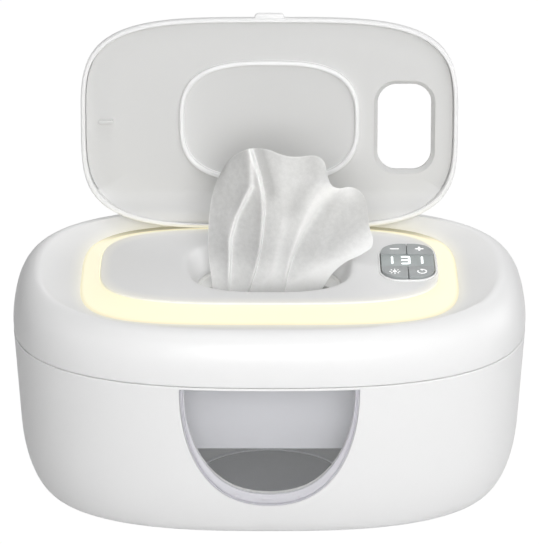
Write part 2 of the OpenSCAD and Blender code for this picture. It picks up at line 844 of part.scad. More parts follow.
// Where the wipe stands: s runs from 0 at its left edge to 1 at its right, v from 0 in the slot to 1.
// The widths are shares of the width in the slot and the heights are shares of the height.
function wipe_left(v) = wipe_w * (v < 0.3 ? -0.5 - 0.28 * v : -0.584 + 0.21 * pow((v - 0.3) / 0.7, 3));
function wipe_right(v) = wipe_w * (0.46 + 0.56 * sin(90 * min(1, v * 1.25)) - 0.17 * pow(v, 3));
function wipe_top(s) = wipe_h * (1 - 0.34 * pow(abs(s - 0.3) / 0.7, 2.2)
  + 0.044 * cos(360 * (s * 2.1 - 0.5)) - 0.088 * pow(s, 6));
function wipe_z(s, v) = wipe_foot + v * (deck_z - wipe_foot + wipe_top(s));
function wipe_fold(s, v) = wipe_w * (0.025 + 0.125 * v
  + (0.0125 + 0.092 * v) * cos(360 * (3.2 * s + 0.35 * v))
  + 0.054 * v * cos(360 * (5.4 * s - 0.2)) - 0.25 * v * pow(s, 3) * (1 - 0.3 * v));
function wipe_point(s, v, side) =
  [wipe_left(v) + s * (wipe_right(v) - wipe_left(v)), wipe_fold(s, v) + side * wipe_t / 2, wipe_z(s, v)];

module wipe() {
  n = wipe_cols + 1;
  m = wipe_rows + 1;
  both = n * m;
  function id(i, j) = j * n + i;
  front = [for (j = [0:m - 2], i = [0:n - 2])
    each [[id(i, j), id(i, j + 1), id(i + 1, j + 1)], [id(i, j), id(i + 1, j + 1), id(i + 1, j)]]];
  back = [for (f = front) [f[2] + both, f[1] + both, f[0] + both]];
  edge = concat([for (i = [0:n - 2]) [i, 0, i + 1, 0]], [for (j = [0:m - 2]) [n - 1, j, n - 1, j + 1]],
    [for (i = [n - 1:-1:1]) [i, m - 1, i - 1, m - 1]], [for (j = [m - 1:-1:1]) [0, j, 0, j - 1]]);
  sides = [for (e = edge) let (a = id(e[0], e[1]), b = id(e[2], e[3]))
    each [[a, b, b + both], [a, b + both, a + both]]];
  color("white") polyhedron(
    [for (k = [-1, 1], j = [0:m - 1], i = [0:n - 1]) wipe_point(i / (n - 1), j / (m - 1), k)],
    concat(front, back, sides), convexity = 10);
}

// Turns a piece of the lid from shut to open.
module lid_pose() {
  translate([0, hinge_y, hinge_z]) rotate([-lid_open, 0, 0]) translate([0, -hinge_y, -hinge_z]) children();
}

// Room for the hinge barrel, open to the rear, so that the lid can roll back over the lit band.
module roll_room() {
  roof = hinge_z + barrel_r + 0.1;
  translate([-roll_w, hinge_y - barrel_r - 0.4, rim_z - 2])
    cube([2 * roll_w, 4 * barrel_r, roof - rim_z + 2]);
}

// Room in the lid for the two ears of the deck and for their arms.
module ear_room() {
  w = ear_l + 2 * snug;
  for (x = [-1, 1]) {
    bar(x * ear_x - w / 2, x * ear_x + w / 2, hinge_y, hinge_z, ear_r + snug);
    translate([x * ear_x - w / 2, deck_back - 5, rim_z]) cube([w, hinge_y - deck_back + 5, liner_z - rim_z]);
  }
}

// The hole over the buttons, grown sideways.
module panel_hole(grow, z, h) {
  translate([panel_x, panel_y, z]) linear_extrude(h)
    soft_rect(cutout_w + 2 * grow, cutout_d + 2 * grow, cutout_r + grow);
}

// The hinge barrel of the lid and the soft slope that leads from the liner down to it.
module hinge_lip() {
  low = liner_z - hinge_z;
  top = low + liner_t - 0.1;
  slope = [[-14, low], [-12, low - 0.2], [-10, low - 0.75], [-8, low - 1.6], [-6.2, low - 2.65], [-5, -1.9],
    [-3.5, -2.6], [-2.2, -2.9], [-1, 0.2 - barrel_r], [0, 0], [-1, top], [-14, top]];
  intersection() {
    union() {
      bar(-roll_w, roll_w, hinge_y, hinge_z, barrel_r);
      translate([-roll_w, hinge_y, hinge_z]) rotate([90, 0, 90]) linear_extrude(2 * roll_w) polygon(slope);
    }
    plate(lid_w / 2, lid_d / 2, lid_n, rim_z - 2, lid_h, deck_y);
  }
}

module lid_shell() {
  a = lid_w / 2;
  b = lid_d / 2;
  r = lid_round;
  front = deck_y - b;
  ceiling = lid_top - lid_skin;
  function at(inset, z) = level(a - inset, b - inset, lid_n, z, deck_y);
  color("white") lid_pose() difference() {
    union() {
      loft(concat(
        [at(lid_wall + 1, ceiling), at(lid_wall, ceiling - 1), at(lid_wall, rim_z)],
        [at(0.5, rim_z), at(0, rim_z + 0.6)],
        [for (t = [0:30:90]) at(r * (1 - cos(t)), lid_top - r + r * sin(t))]));
      translate([0, front - tab_d + 4, rim_z + 0.6]) linear_extrude(tab_t) soft_rect(tab_w, 8, 2);
    }
    translate([-tab_w, front + lid_wall, rim_z - 1]) cube([2 * tab_w, 8, 6]);
    roll_room();
    panel_hole(collar_t + 0.2, rim_z, 2 * lid_h);
  }
}

module lid_liner() {
  inset = lid_wall + 0.3;
  color("whitesmoke") lid_pose() difference() {
    union() {
      difference() {
        plate(lid_w / 2 - inset, lid_d / 2 - inset, lid_n, liner_z, liner_t, deck_y);
        translate([-roll_w, hinge_y - 4, rim_z]) cube([2 * roll_w, 14, 20]);
      }
      hinge_lip();
      panel_hole(collar_t, liner_z, lid_top - 0.1 - liner_z);
      translate([-lid_w / 2 + 8.3, -hook_t / 2, deck_z + snug]) cube([hook_l, hook_t, liner_z - deck_z]);
    }
    ear_room();
    bar(-roll_w - 1, roll_w + 1, hinge_y, hinge_z, pin_r + pin_fit);
    panel_hole(0, rim_z, 2 * lid_h);
    hull() {
      panel_hole(1.9, liner_z - 0.01, 0.01);
      panel_hole(0, liner_z + liner_t + 0.6, 0.01);
    }
  }
}

module lid_seal() {
  a = dish_w / 2 + 3.4;
  b = dish_d / 2 + 0.8;
  z = deck_z + snug;
  color("whitesmoke") lid_pose() translate([0, 0, z]) linear_extrude(liner_z - z) difference() {
    polygon(outline(a, b, 2.9));
    polygon(outline(a - rib_t, b - rib_t, 2.9));
  }
}

module lid_hinge_pin() {
  color("silver") bar(-pin_l / 2, pin_l / 2, hinge_y, hinge_z, pin_r);
}

lower_shell();
feet();
window_frame();
window_lens();
window_gasket();
moisture_pad();
pad_ring();
wipe_basket();
wipe_stack();
rim_seal();
rear_hinge_pin();
upper_shell();
deck();
light_ring();
lamp_board();
lamps();
electrics_cover();
insulation();
heater_film();
heater_plate();
thermal_fuse();
temperature_sensor();
wipe_gate();
keypad_bezel();
display_lens();
display_module();
control_board();
key_switches();
main_board();
power_parts();
wires();
dc_jack();
cover_screws();
deck_screws();
wipe();
lid_shell();
lid_liner();
lid_seal();
lid_hinge_pin();
minus_button();
plus_button();
light_button();
power_button();
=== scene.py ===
# %% [markdown]
# # A baby wipe warmer, dressed for its portrait
#
# The warmer is a white moulded case about the size of a shoe box. Its upper half carries an oval
# deck with a dish in it, a band of warm light round the deck, a small key pad, and a lid that
# leans open behind a wipe. A clear window in the front shows how many wipes are left.
#
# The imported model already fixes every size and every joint. This script only gives the pieces
# their finish, and models the visible shells again with far smoother curves.

import math

import bmesh
import bpy
import numpy as np
from mathutils import Matrix, Vector


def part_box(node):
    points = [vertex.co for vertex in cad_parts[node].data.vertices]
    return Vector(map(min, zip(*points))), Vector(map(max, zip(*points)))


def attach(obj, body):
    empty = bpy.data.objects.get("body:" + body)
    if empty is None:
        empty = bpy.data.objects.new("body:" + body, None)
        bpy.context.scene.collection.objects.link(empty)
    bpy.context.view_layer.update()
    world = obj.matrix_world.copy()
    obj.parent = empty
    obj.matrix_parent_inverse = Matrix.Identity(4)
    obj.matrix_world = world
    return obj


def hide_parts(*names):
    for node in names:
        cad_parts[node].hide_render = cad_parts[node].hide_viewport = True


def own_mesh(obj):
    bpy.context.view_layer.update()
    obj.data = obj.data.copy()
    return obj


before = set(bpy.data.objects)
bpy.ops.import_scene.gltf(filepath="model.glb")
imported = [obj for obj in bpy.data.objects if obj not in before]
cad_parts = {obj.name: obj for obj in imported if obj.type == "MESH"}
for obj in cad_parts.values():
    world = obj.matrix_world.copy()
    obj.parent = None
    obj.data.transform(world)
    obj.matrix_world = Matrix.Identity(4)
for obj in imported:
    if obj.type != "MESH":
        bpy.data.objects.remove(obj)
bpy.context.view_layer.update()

# %% [markdown]
# ## Units and small helpers
#
# The frame is in metres, and a moulded part is easier to read in millimetres, so every length
# below is a number of millimetres times MM. Operators act on whatever is selected, so each step
# first selects one object alone, and then picks its edges or faces by their place.

# %% Helpers for selecting and editing
MM = 0.001


def select_only(obj):
    if bpy.context.object and bpy.context.object.mode != "OBJECT":
        bpy.ops.object.mode_set(mode="OBJECT")
    bpy.ops.object.select_all(action="DESELECT")
    obj.select_set(True)
    bpy.context.view_layer.objects.active = obj


def edit(obj):
    select_only(obj)
    bpy.ops.object.mode_set(mode="EDIT")


def leave_edit():
    bpy.ops.object.mode_set(mode="OBJECT")


def pick(obj, test, kind="VERT"):
    """Selects the vertices, edges or faces whose middle passes the test, given in millimetres."""
    bpy.ops.mesh.select_all(action="DESELECT")
    bpy.ops.mesh.select_mode(type=kind)
    mesh = bmesh.from_edit_mesh(obj.data)
    for item in {"VERT": mesh.verts, "EDGE": mesh.edges, "FACE": mesh.faces}[kind]:
        if kind == "VERT":
            middle = item.co
        elif kind == "EDGE":
            middle = (item.verts[0].co + item.verts[1].co) / 2
        else:
            middle = item.calc_center_median()
        item.select_set(bool(test(middle / MM)))
    mesh.select_flush_mode()
    bmesh.update_edit_mesh(obj.data)


def add_modifier(obj, kind, **settings):
    """Adds a modifier, sets it and applies it."""
    select_only(obj)
    modifier = obj.modifiers.new(kind.title(), kind)
    for name, value in settings.items():
        setattr(modifier, name, value)
    bpy.ops.object.modifier_apply(modifier=modifier.name)


def soften(obj, width, angle=40, segments=3):
    """Rounds the sharp edges of a piece, as the radius of its mould does."""
    add_modifier(obj, "BEVEL", width=width * MM, segments=segments, limit_method="ANGLE",
                 angle_limit=math.radians(angle), use_clamp_overlap=True)


def smooth(obj, angle=30):
    select_only(obj)
    bpy.ops.object.shade_smooth_by_angle(angle=math.radians(angle))


def outward(obj):
    """Merges doubles and turns every face outwards."""
    edit(obj)
    bpy.ops.mesh.select_all(action="SELECT")
    bpy.ops.mesh.remove_doubles(threshold=1e-6)
    bpy.ops.mesh.normals_make_consistent(inside=False)
    leave_edit()


# %% [markdown]
# ## The camera
#
# The photograph looks down on the case by about 26 degrees from a metre and a half away, through
# a long lens, so that the sides of the case hardly converge. The picture is 539 pixels wide and
# 544 high, and Blender fits the longer side to the sensor.

# %% Camera
CAMERA_TILT = math.radians(26)
CAMERA_DISTANCE = 1500 * MM
CAMERA_AIM = Vector((0, 0, 107.1)) * MM
SENSOR = 36.0
LENS = 212.1

camera_data = bpy.data.cameras.new("camera")
camera_data.sensor_width = SENSOR
camera_data.lens = LENS
camera_data.clip_start = 0.05
camera = bpy.data.objects.new("camera", camera_data)
bpy.context.collection.objects.link(camera)
camera.location = CAMERA_AIM + CAMERA_DISTANCE * Vector((0, -math.cos(CAMERA_TILT), math.sin(CAMERA_TILT)))
camera.rotation_euler = (math.pi / 2 - CAMERA_TILT, 0, 0)
bpy.context.scene.camera = camera
print("camera at", [round(c, 3) for c in camera.location])

# %% [markdown]
# ## Colours and nodes
#
# Colours are written as sRGB hex values, as a paint chip would give them, and one function turns
# them into the linear values that a shader needs. Another function adds a node, sets its values
# and links its inputs, so that each material below reads as a short list of what it is made of.


# %% Material helpers
def colour(hex_value):
    channels = [int(hex_value[i:i + 2], 16) / 255 for i in (0, 2, 4)]
    linear = [c / 12.92 if c <= 0.04045 else ((c + 0.055) / 1.055) ** 2.4 for c in channels]
    return (*linear, 1.0)


def add_node(material, kind, values=None, links=None, **settings):
    """Adds one node: settings are its properties, values fill sockets and links feed them."""
    node = material.node_tree.nodes.new(kind)
    for name, value in settings.items():
        setattr(node, name, value)
    for socket, value in (values or {}).items():
        node.inputs[socket].default_value = value
    for socket, source in (links or {}).items():
        material.node_tree.links.new(source, node.inputs[socket])
    return node


def new_material(name, hex_value, roughness, **sockets):
    """A Principled material with its plain values set on the shader's own sockets."""
    material = bpy.data.materials.new(name)
    material.use_nodes = True
    shader = material.node_tree.nodes["Principled BSDF"]
    shader.inputs["Base Color"].default_value = colour(hex_value)
    shader.inputs["Roughness"].default_value = roughness
    for socket, value in sockets.items():
        shader.inputs[socket.replace("_", " ")].default_value = value
    return material, shader


def place_of(material):
    return add_node(material, "ShaderNodeTexCoord").outputs["Object"]


def grain(material, shader, size, height, detail=3.0, roughness=None):
    """Moulded grain: bumps about size millimetres across, and gloss that varies with them."""
    noise = add_node(material, "ShaderNodeTexNoise", {"Scale": 1 / (size * MM), "Detail": detail},
                     {"Vector": place_of(material)})
    bump = add_node(material, "ShaderNodeBump", {"Strength": 0.5, "Distance": height * MM},
                    {"Height": noise.outputs["Fac"]})
    material.node_tree.links.new(bump.outputs["Normal"], shader.inputs["Normal"])
    if roughness:
        spread = add_node(material, "ShaderNodeMapRange",
                          {"From Min": 0.3, "From Max": 0.7, "To Min": roughness[0], "To Max": roughness[1]},
                          {"Value": noise.outputs["Fac"]})
        material.node_tree.links.new(spread.outputs["Result"], shader.inputs["Roughness"])
    return noise


# %% [markdown]
# ## Finishes
#
# The case is injection-moulded ABS. Its tool has a fine satin finish, so the white is even, the
# highlights are broad and soft, and only a faint unevenness of gloss shows up close. ABS has an
# index of refraction of about 1.53.

# %% White ABS
abs_case, abs_case_shader = new_material("Satin white ABS", "F1F1F1", 0.34, IOR=1.53)
grain(abs_case, abs_case_shader, size=0.6, height=0.012, roughness=(0.30, 0.40))

# Close to the lit band the white plastic glows faintly: a painted warm halo that stands in for the band's light on it.
abs_painted_glow, abs_painted_glow_shader = new_material("Satin white ABS with a painted glow round the light", "F1F1F1", 0.34, IOR=1.53)
grain(abs_painted_glow, abs_painted_glow_shader, size=0.6, height=0.012, roughness=(0.30, 0.40))
abs_painted_glow_shader.inputs["Emission Color"].default_value = colour("FFF2A6")
halo = add_node(abs_painted_glow, "ShaderNodeAttribute", attribute_name="painted_halo_glow")
abs_painted_glow.node_tree.links.new(halo.outputs["Fac"], abs_painted_glow_shader.inputs["Emission Strength"])

# The liner is a greyer white than the case: a painted shade for the inside of the open lid.
abs_liner_greyed_for_shade, abs_liner_greyed_for_shade_shader = new_material("Fine-grained white ABS, greyed as painted shade", "D9D9D8", 0.5, IOR=1.53)
grain(abs_liner_greyed_for_shade, abs_liner_greyed_for_shade_shader, size=0.5, height=0.02, roughness=(0.46, 0.56))

abs_rib, abs_rib_shader = new_material("Glossy white ABS", "F5F5F5", 0.22, IOR=1.53)
grain(abs_rib, abs_rib_shader, size=0.8, height=0.006)

# %% [markdown]
# The keys are grey ABS with a satin face. Their printed signs are white ink with a faint painted glow,
# and the display shows warm white bars behind a smoked clear strip.

# %% Keys, ink and display
grey_key, grey_key_shader = new_material("Satin grey ABS", "A6AAAB", 0.4, IOR=1.53)
grain(grey_key, grey_key_shader, size=0.4, height=0.012, roughness=(0.32, 0.42))

smoked_strip, smoked_strip_shader = new_material("Smoked acrylic", "ABB2B2", 0.34, IOR=1.49)
grain(smoked_strip, smoked_strip_shader, size=1.2, height=0.004)

key_well, key_well_shader = new_material("Dark ABS", "5E6263", 0.6, IOR=1.53)
grain(key_well, key_well_shader, size=0.5, height=0.02)

white_ink_painted_glow, white_ink_painted_glow_shader = new_material("White screen ink with a painted glow", "FFFFFF", 0.5, Emission_Strength=0.35)
white_ink_painted_glow_shader.inputs["Emission Color"].default_value = colour("FFFFFF")
grain(white_ink_painted_glow, white_ink_painted_glow_shader, size=0.2, height=0.01)

lit_bars, lit_bars_shader = new_material("Lit display segment", "FFFFFF", 0.4, Emission_Strength=0.9)
lit_bars_shader.inputs["Emission Color"].default_value = colour("F6FFFF")
grain(lit_bars, lit_bars_shader, size=0.4, height=0.004)

# %% [markdown]
# The lit band is milky polycarbonate over a ring of lamps. It glows evenly in a warm white,
# and it gives real light to the deck and the lid.

# %% Lit polycarbonate
glow_band, glow_shader = new_material("Milky polycarbonate, lit", "A39B74", 0.45, IOR=1.58)
glow_shader.inputs["Emission Color"].default_value = colour("FFFAE3")
grain(glow_band, glow_shader, size=1.5, height=0.01)
GLOW_POWER = 0.70
glow = add_node(glow_band, "ShaderNodeAttribute", attribute_name="band_glow_with_painted_shade")
power = add_node(glow_band, "ShaderNodeMath", {1: GLOW_POWER}, {0: glow.outputs["Fac"]}, operation="MULTIPLY")
glow_band.node_tree.links.new(power.outputs["Value"], glow_shader.inputs["Emission Strength"])

# %% [markdown]
# The window is clear moulded acrylic. A real pane is thin enough that light goes almost
# straight through, so it is made mostly see-through with a polished surface, and the thicker
# frame round it is a little milky at its edges.

# %% Clear plastics
clear_pane, clear_pane_shader = new_material("Clear acrylic", "F4F6F7", 0.08, IOR=1.49, Alpha=0.10)
grain(clear_pane, clear_pane_shader, size=6, height=0.01)

frame_acrylic, frame_acrylic_shader = new_material("Thick clear acrylic", "E6E5EB", 0.12, IOR=1.49, Alpha=0.8)
grain(frame_acrylic, frame_acrylic_shader, size=4, height=0.01)

# %% [markdown]
# The wipe is spunlace: viscose and polyester fibres tangled by water jets into a soft sheet
# without a weave. Light from behind comes through it a little. Its fibres are far too fine to
# show, so they are drawn as a coarser cloudy pattern with a few brighter knots.

# %% Spunlace cloth
FIBRE_CLOUD = 2.2
FIBRE_KNOT = 0.7


def spunlace_cloth(name, thin, thick, attribute=None):
    """Spunlace whose tone runs from thin, its darker colour, to thick, its lighter one: by an attribute of painted
    light and shade, or by its clouds.
    """
    cloth, shader = new_material(name, thick, 0.85, IOR=1.5, Sheen_Weight=0.2, Sheen_Roughness=0.5)
    place = place_of(cloth)
    cloud = add_node(cloth, "ShaderNodeTexNoise",
                     {"Scale": 1 / (FIBRE_CLOUD * MM), "Detail": 6.0, "Roughness": 0.65}, {"Vector": place})
    knots = add_node(cloth, "ShaderNodeTexNoise", {"Scale": 1 / (FIBRE_KNOT * MM), "Detail": 2.0}, {"Vector": place})
    height = add_node(cloth, "ShaderNodeMath", None, {0: cloud.outputs["Fac"], 1: knots.outputs["Fac"]}, operation="ADD")
    bump = add_node(cloth, "ShaderNodeBump", {"Strength": 0.3, "Distance": 0.1 * MM}, {"Height": height.outputs["Value"]})
    cloth.node_tree.links.new(bump.outputs["Normal"], shader.inputs["Normal"])
    share = cloud.outputs["Fac"]
    # The attribute is painted light and shade; the clouds add a random mottle on top.
    if attribute:
        layers = add_node(cloth, "ShaderNodeAttribute", attribute_name=attribute)
        mottle = add_node(cloth, "ShaderNodeMapRange", {"From Min": 0.3, "From Max": 0.7, "To Min": -0.09, "To Max": 0.09},
                          {"Value": cloud.outputs["Fac"]})
        share = add_node(cloth, "ShaderNodeMath", None, {0: layers.outputs["Fac"], 1: mottle.outputs["Result"]},
                         operation="ADD", use_clamp=True).outputs["Value"]
    tone = add_node(cloth, "ShaderNodeValToRGB", None, {"Fac": share})
    tone.color_ramp.elements[0].color, tone.color_ramp.elements[1].color = colour(thin), colour(thick)
    cloth.node_tree.links.new(tone.outputs["Color"], shader.inputs["Base Color"])
    return cloth


spunlace = spunlace_cloth("Spunlace viscose with painted light and shade", "C2C2C1", "FEFEFD", "painted_crease_shading")
folded_spunlace = spunlace_cloth("Folded spunlace", "EAEAE9", "F6F6F5")

# %% [markdown]
# The pieces inside are plainer: a pale tray, a dark foam pad with open pores, silicone seals,
# bright steel pins and screws, rolled aluminium, amber film, felt, and green circuit boards.

# %% Inside materials
tray_plastic, tray_shader = new_material("Pale grey polypropylene", "E2E2E8", 0.45, IOR=1.49)
grain(tray_plastic, tray_shader, size=0.7, height=0.02, roughness=(0.4, 0.5))

tank_plastic, tank_shader = new_material("White ABS inside face", "DEDEE0", 0.42, IOR=1.53)
grain(tank_plastic, tank_shader, size=0.6, height=0.02, roughness=(0.38, 0.48))

foam, foam_shader = new_material("Open-cell foam", "85858A", 0.9)
foam_cells = add_node(foam, "ShaderNodeTexVoronoi", {"Scale": 1 / (0.9 * MM)}, {"Vector": place_of(foam)})
foam_bump = add_node(foam, "ShaderNodeBump", {"Strength": 0.6, "Distance": 0.2 * MM},
                     {"Height": foam_cells.outputs["Distance"]})
foam.node_tree.links.new(foam_bump.outputs["Normal"], foam_shader.inputs["Normal"])

silicone, silicone_shader = new_material("Translucent silicone", "ECECEA", 0.55, IOR=1.41)
grain(silicone, silicone_shader, size=0.5, height=0.015)

rubber, rubber_shader = new_material("Pale grey rubber", "C4C4C4", 0.75)
grain(rubber, rubber_shader, size=0.4, height=0.03)

steel, steel_shader = new_material("Ground steel", "B9BABC", 0.32, Metallic=1.0)
grain(steel, steel_shader, size=0.15, height=0.004, roughness=(0.26, 0.4))

aluminium, aluminium_shader = new_material("Rolled aluminium sheet", "D3D4D6", 0.34, Metallic=1.0)
rolling = add_node(aluminium, "ShaderNodeMapping", {"Scale": (8, 400, 400)}, {"Vector": place_of(aluminium)})
rolled = add_node(aluminium, "ShaderNodeTexNoise", {"Scale": 12.0, "Detail": 4.0}, {"Vector": rolling.outputs["Vector"]})
roll_bump = add_node(aluminium, "ShaderNodeBump", {"Strength": 0.2, "Distance": 0.02 * MM}, {"Height": rolled.outputs["Fac"]})
aluminium.node_tree.links.new(roll_bump.outputs["Normal"], aluminium_shader.inputs["Normal"])

amber_film, amber_film_shader = new_material("Polyimide film", "B9701F", 0.3, IOR=1.7)
tracks = add_node(amber_film, "ShaderNodeTexWave", {"Scale": 1 / (8 * MM) / 6.2832, "Distortion": 0.0}, {"Vector": place_of(amber_film)})
track_tone = add_node(amber_film, "ShaderNodeValToRGB", None, {"Fac": tracks.outputs["Fac"]})
track_tone.color_ramp.elements[0].position, track_tone.color_ramp.elements[1].position = 0.45, 0.55
track_tone.color_ramp.elements[0].color, track_tone.color_ramp.elements[1].color = colour("A8621A"), colour("C98A3A")
amber_film.node_tree.links.new(track_tone.outputs["Color"], amber_film_shader.inputs["Base Color"])

felt, felt_shader = new_material("Needle felt", "DAD8D2", 0.95)
grain(felt, felt_shader, size=0.5, height=0.2, detail=6.0)

board_green, board_green_shader = new_material("Glass epoxy with green mask", "1E5B3A", 0.35, IOR=1.5)
grain(board_green, board_green_shader, size=0.4, height=0.02)

black_plastic, black_plastic_shader = new_material("Black nylon", "1B1B1C", 0.5)
grain(black_plastic, black_plastic_shader, size=0.5, height=0.02)

lamp_resin, lamp_resin_shader = new_material("Lamp resin", "FFF0C0", 0.25, Emission_Strength=1.0)
lamp_resin_shader.inputs["Emission Color"].default_value = colour("FFE9B0")
grain(lamp_resin, lamp_resin_shader, size=0.5, height=0.01)

wire_red, wire_red_shader = new_material("Red PVC insulation", "A3211A", 0.4)
grain(wire_red, wire_red_shader, size=0.5, height=0.01)

NODE_FINISH = {
    "lower_shell": abs_case, "upper_shell": abs_case, "deck": abs_case, "lid_shell": abs_case,
    "keypad_bezel": abs_rib, "lid_liner": abs_liner_greyed_for_shade, "lid_seal": abs_rib, "electrics_cover": abs_liner_greyed_for_shade,
    "feet": rubber, "window_frame": frame_acrylic, "window_lens": clear_pane, "window_gasket": silicone,
    "moisture_pad": foam, "pad_ring": tray_plastic, "wipe_basket": tray_plastic, "wipe_stack": folded_spunlace,
    "rim_seal": silicone, "rear_hinge_pin": steel, "light_ring": glow_band, "lamp_board": board_green,
    "lamps": lamp_resin, "insulation": felt, "heater_film": amber_film, "heater_plate": aluminium,
    "thermal_fuse": steel, "temperature_sensor": black_plastic, "wipe_gate": silicone,
    "display_lens": smoked_strip, "display_module": black_plastic, "control_board": board_green,
    "key_switches": black_plastic, "main_board": board_green, "power_parts": black_plastic,
    "wires": wire_red, "dc_jack": black_plastic, "cover_screws": steel, "deck_screws": steel,
    "wipe": spunlace, "lid_hinge_pin": steel, "minus_button": grey_key, "plus_button": grey_key,
    "light_button": grey_key, "power_button": grey_key}

for node_name, finish in NODE_FINISH.items():
    node_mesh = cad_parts[node_name].data
    node_mesh.materials.clear()
    node_mesh.materials.append(finish)
print("finishes:", len(bpy.data.materials), "on", len(NODE_FINISH), "nodes")


def give(obj, body, finish, nodes=()):
    """Finishes a piece: its material, the body it rides on and the nodes it stands for."""
    obj.data.materials.clear()
    obj.data.materials.append(finish)
    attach(obj, body)
    if nodes:
        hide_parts(*nodes)
    corners = [len(p.vertices) - 2 for p in obj.data.polygons]
    print(f"  {obj.name}: {sum(corners)} triangles on {body}")


# %% [markdown]
# ## Oval outlines
#
# Every big outline on this case is a superellipse: an oval whose sides are flatter and whose
# corners are fuller as its exponent grows. A circle primitive gives the right ring of vertices,
# and each vertex is then slid to its place on the oval. Each vertex remembers its number, so a
# ring that is extruded from another can be placed the same way.

# %% Lofting by extrusion
RING = 176
SAMPLES = 4001


def oval(half_x, half_y, n, count=RING, n_front=None):
    """Evenly spaced points of a superellipse, in millimetres, from the +X side round by +Y."""
    t = np.linspace(0, 2 * math.pi, SAMPLES)
    power = np.where(np.sin(t) < 0, 2 / (n_front or n), 2 / n)
    x = half_x * np.sign(np.cos(t)) * np.abs(np.cos(t)) ** power
    y = half_y * np.sign(np.sin(t)) * np.abs(np.sin(t)) ** power
    walked = np.concatenate([[0], np.cumsum(np.hypot(np.diff(x), np.diff(y)))])
    marks = np.arange(count) * walked[-1] / count
    return np.interp(marks, walked, x), np.interp(marks, walked, y)


def level(half_x, half_y, n, z, y=0.0, n_front=None):
    """The points of one level of an oval loft."""
    xs, ys = oval(half_x, half_y, n, n_front=n_front)
    return np.c_[xs, ys + y, np.full(RING, z)] * MM


def place_ring(obj, points):
    """Slides the selected ring to its points."""
    mesh = bmesh.from_edit_mesh(obj.data)
    number = mesh.verts.layers.int["number"]
    for vertex in mesh.verts:
        if vertex.select:
            vertex.co = Vector(points[vertex[number]])
    bmesh.update_edit_mesh(obj.data)


def select_levels(obj, wanted):
    bpy.ops.mesh.select_all(action="DESELECT")
    bpy.ops.mesh.select_mode(type="VERT")
    mesh = bmesh.from_edit_mesh(obj.data)
    storey = mesh.verts.layers.int["storey"]
    for vertex in mesh.verts:
        vertex.select_set(vertex[storey] in wanted)
    mesh.select_flush_mode()
    bmesh.update_edit_mesh(obj.data)


def loft(name, levels, joined=False, caps=(True, True)):
    """A skin through a list of rings, extruded one from another. joined closes it into a tube ring."""
    count = len(levels[0])
    bpy.ops.object.select_all(action="DESELECT")
    bpy.ops.mesh.primitive_circle_add(vertices=count, radius=0.05, fill_type="NOTHING", enter_editmode=True)
    obj = bpy.context.object
    obj.name = obj.data.name = name
    mesh = bmesh.from_edit_mesh(obj.data)
    number = mesh.verts.layers.int.new("number")
    storey = mesh.verts.layers.int.new("storey")
    for vertex in mesh.verts:
        vertex[number] = round(math.atan2(vertex.co.y, vertex.co.x) / (2 * math.pi) * count) % count
        vertex[storey] = 0
    bmesh.update_edit_mesh(obj.data)
    bpy.ops.mesh.select_all(action="SELECT")
    place_ring(obj, levels[0])
    for k, points in enumerate(levels[1:], start=1):
        bpy.ops.mesh.extrude_edges_move()
        mesh = bmesh.from_edit_mesh(obj.data)
        storey = mesh.verts.layers.int["storey"]
        for vertex in mesh.verts:
            if vertex.select:
                vertex[storey] = k
        place_ring(obj, points)
    last = len(levels) - 1
    if joined:
        select_levels(obj, {0, last})
        bpy.ops.mesh.select_mode(type="EDGE")
        bpy.ops.mesh.bridge_edge_loops()
    else:
        for wanted, capped in ((0, caps[0]), (last, caps[1])):
            if capped:
                select_levels(obj, {wanted})
                bpy.ops.mesh.edge_face_add()
    bpy.ops.mesh.select_all(action="SELECT")
    bpy.ops.mesh.normals_make_consistent(inside=False)
    leave_edit()
    for layer in ("number", "storey"):
        obj.data.attributes.remove(obj.data.attributes[layer])
    return obj


# %% [markdown]
# ## The lower case
#
# The lower half is a deep tub. Its wall draws in a little on the way down, as a moulding must to
# leave its tool, and turns under in a large soft round. The skin is lofted up the outside, over
# the lip and down the inside, and the window and the hinge notches are then cut out of it.

# %% Sizes of the case
lower_low, lower_high = (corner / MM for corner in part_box("lower_shell"))
CASE_X = lower_high.x
CASE_Y = -lower_low.y
CASE_N = 2.65
WALL = 2.4
SEAM_Z = 84.0
FOOT_GAP = 1.0
FLOOR = 2.6
TAPER = 3.8
UNDER_H = 36.0
UNDER_W = 13.0
print("case half sizes", round(CASE_X, 1), round(CASE_Y, 1))


def taper_in(z):
    return TAPER * (SEAM_Z - z) / SEAM_Z


def case_level(z, more=0.0):
    inset = taper_in(z) + more
    return level(CASE_X - inset, CASE_Y - inset, CASE_N, z)


def under_levels(z0, height, inset, angles):
    """Levels up or down the round under the case."""
    found = []
    for degrees in angles:
        a = math.radians(degrees)
        found.append(case_level(z0 + height * (1 - math.sin(a)), inset + UNDER_W * (1 - math.cos(a))))
    return found


# %% Lower case
LIP_ROUND = 0.35
lower_case = loft("lower_case",
                  [case_level(FOOT_GAP, UNDER_W + 4)]
                  + under_levels(FOOT_GAP, UNDER_H, 0, range(90, -1, -6))
                  + [case_level(z) for z in (50, 66, SEAM_Z - LIP_ROUND)]
                  + [case_level(SEAM_Z, LIP_ROUND), case_level(SEAM_Z, WALL)]
                  + [case_level(z, WALL) for z in (66, 50)]
                  + under_levels(FOOT_GAP + FLOOR, UNDER_H - FLOOR, WALL, range(0, 91, 9)))

# %% [markdown]
# The window has a flat top and a full round bottom, again a superellipse, this time seen from
# the front. The cutter is that outline, filled and extruded through the wall.

# %% Window outline
WINDOW_X = 40.9
WINDOW_H = 62.0
WINDOW_N = 2.25
WINDOW_Z = SEAM_Z - 1.0
FRAME_SIDE = 2.3
FRAME_FOOT = 6.4
WINDOW_RING = 120


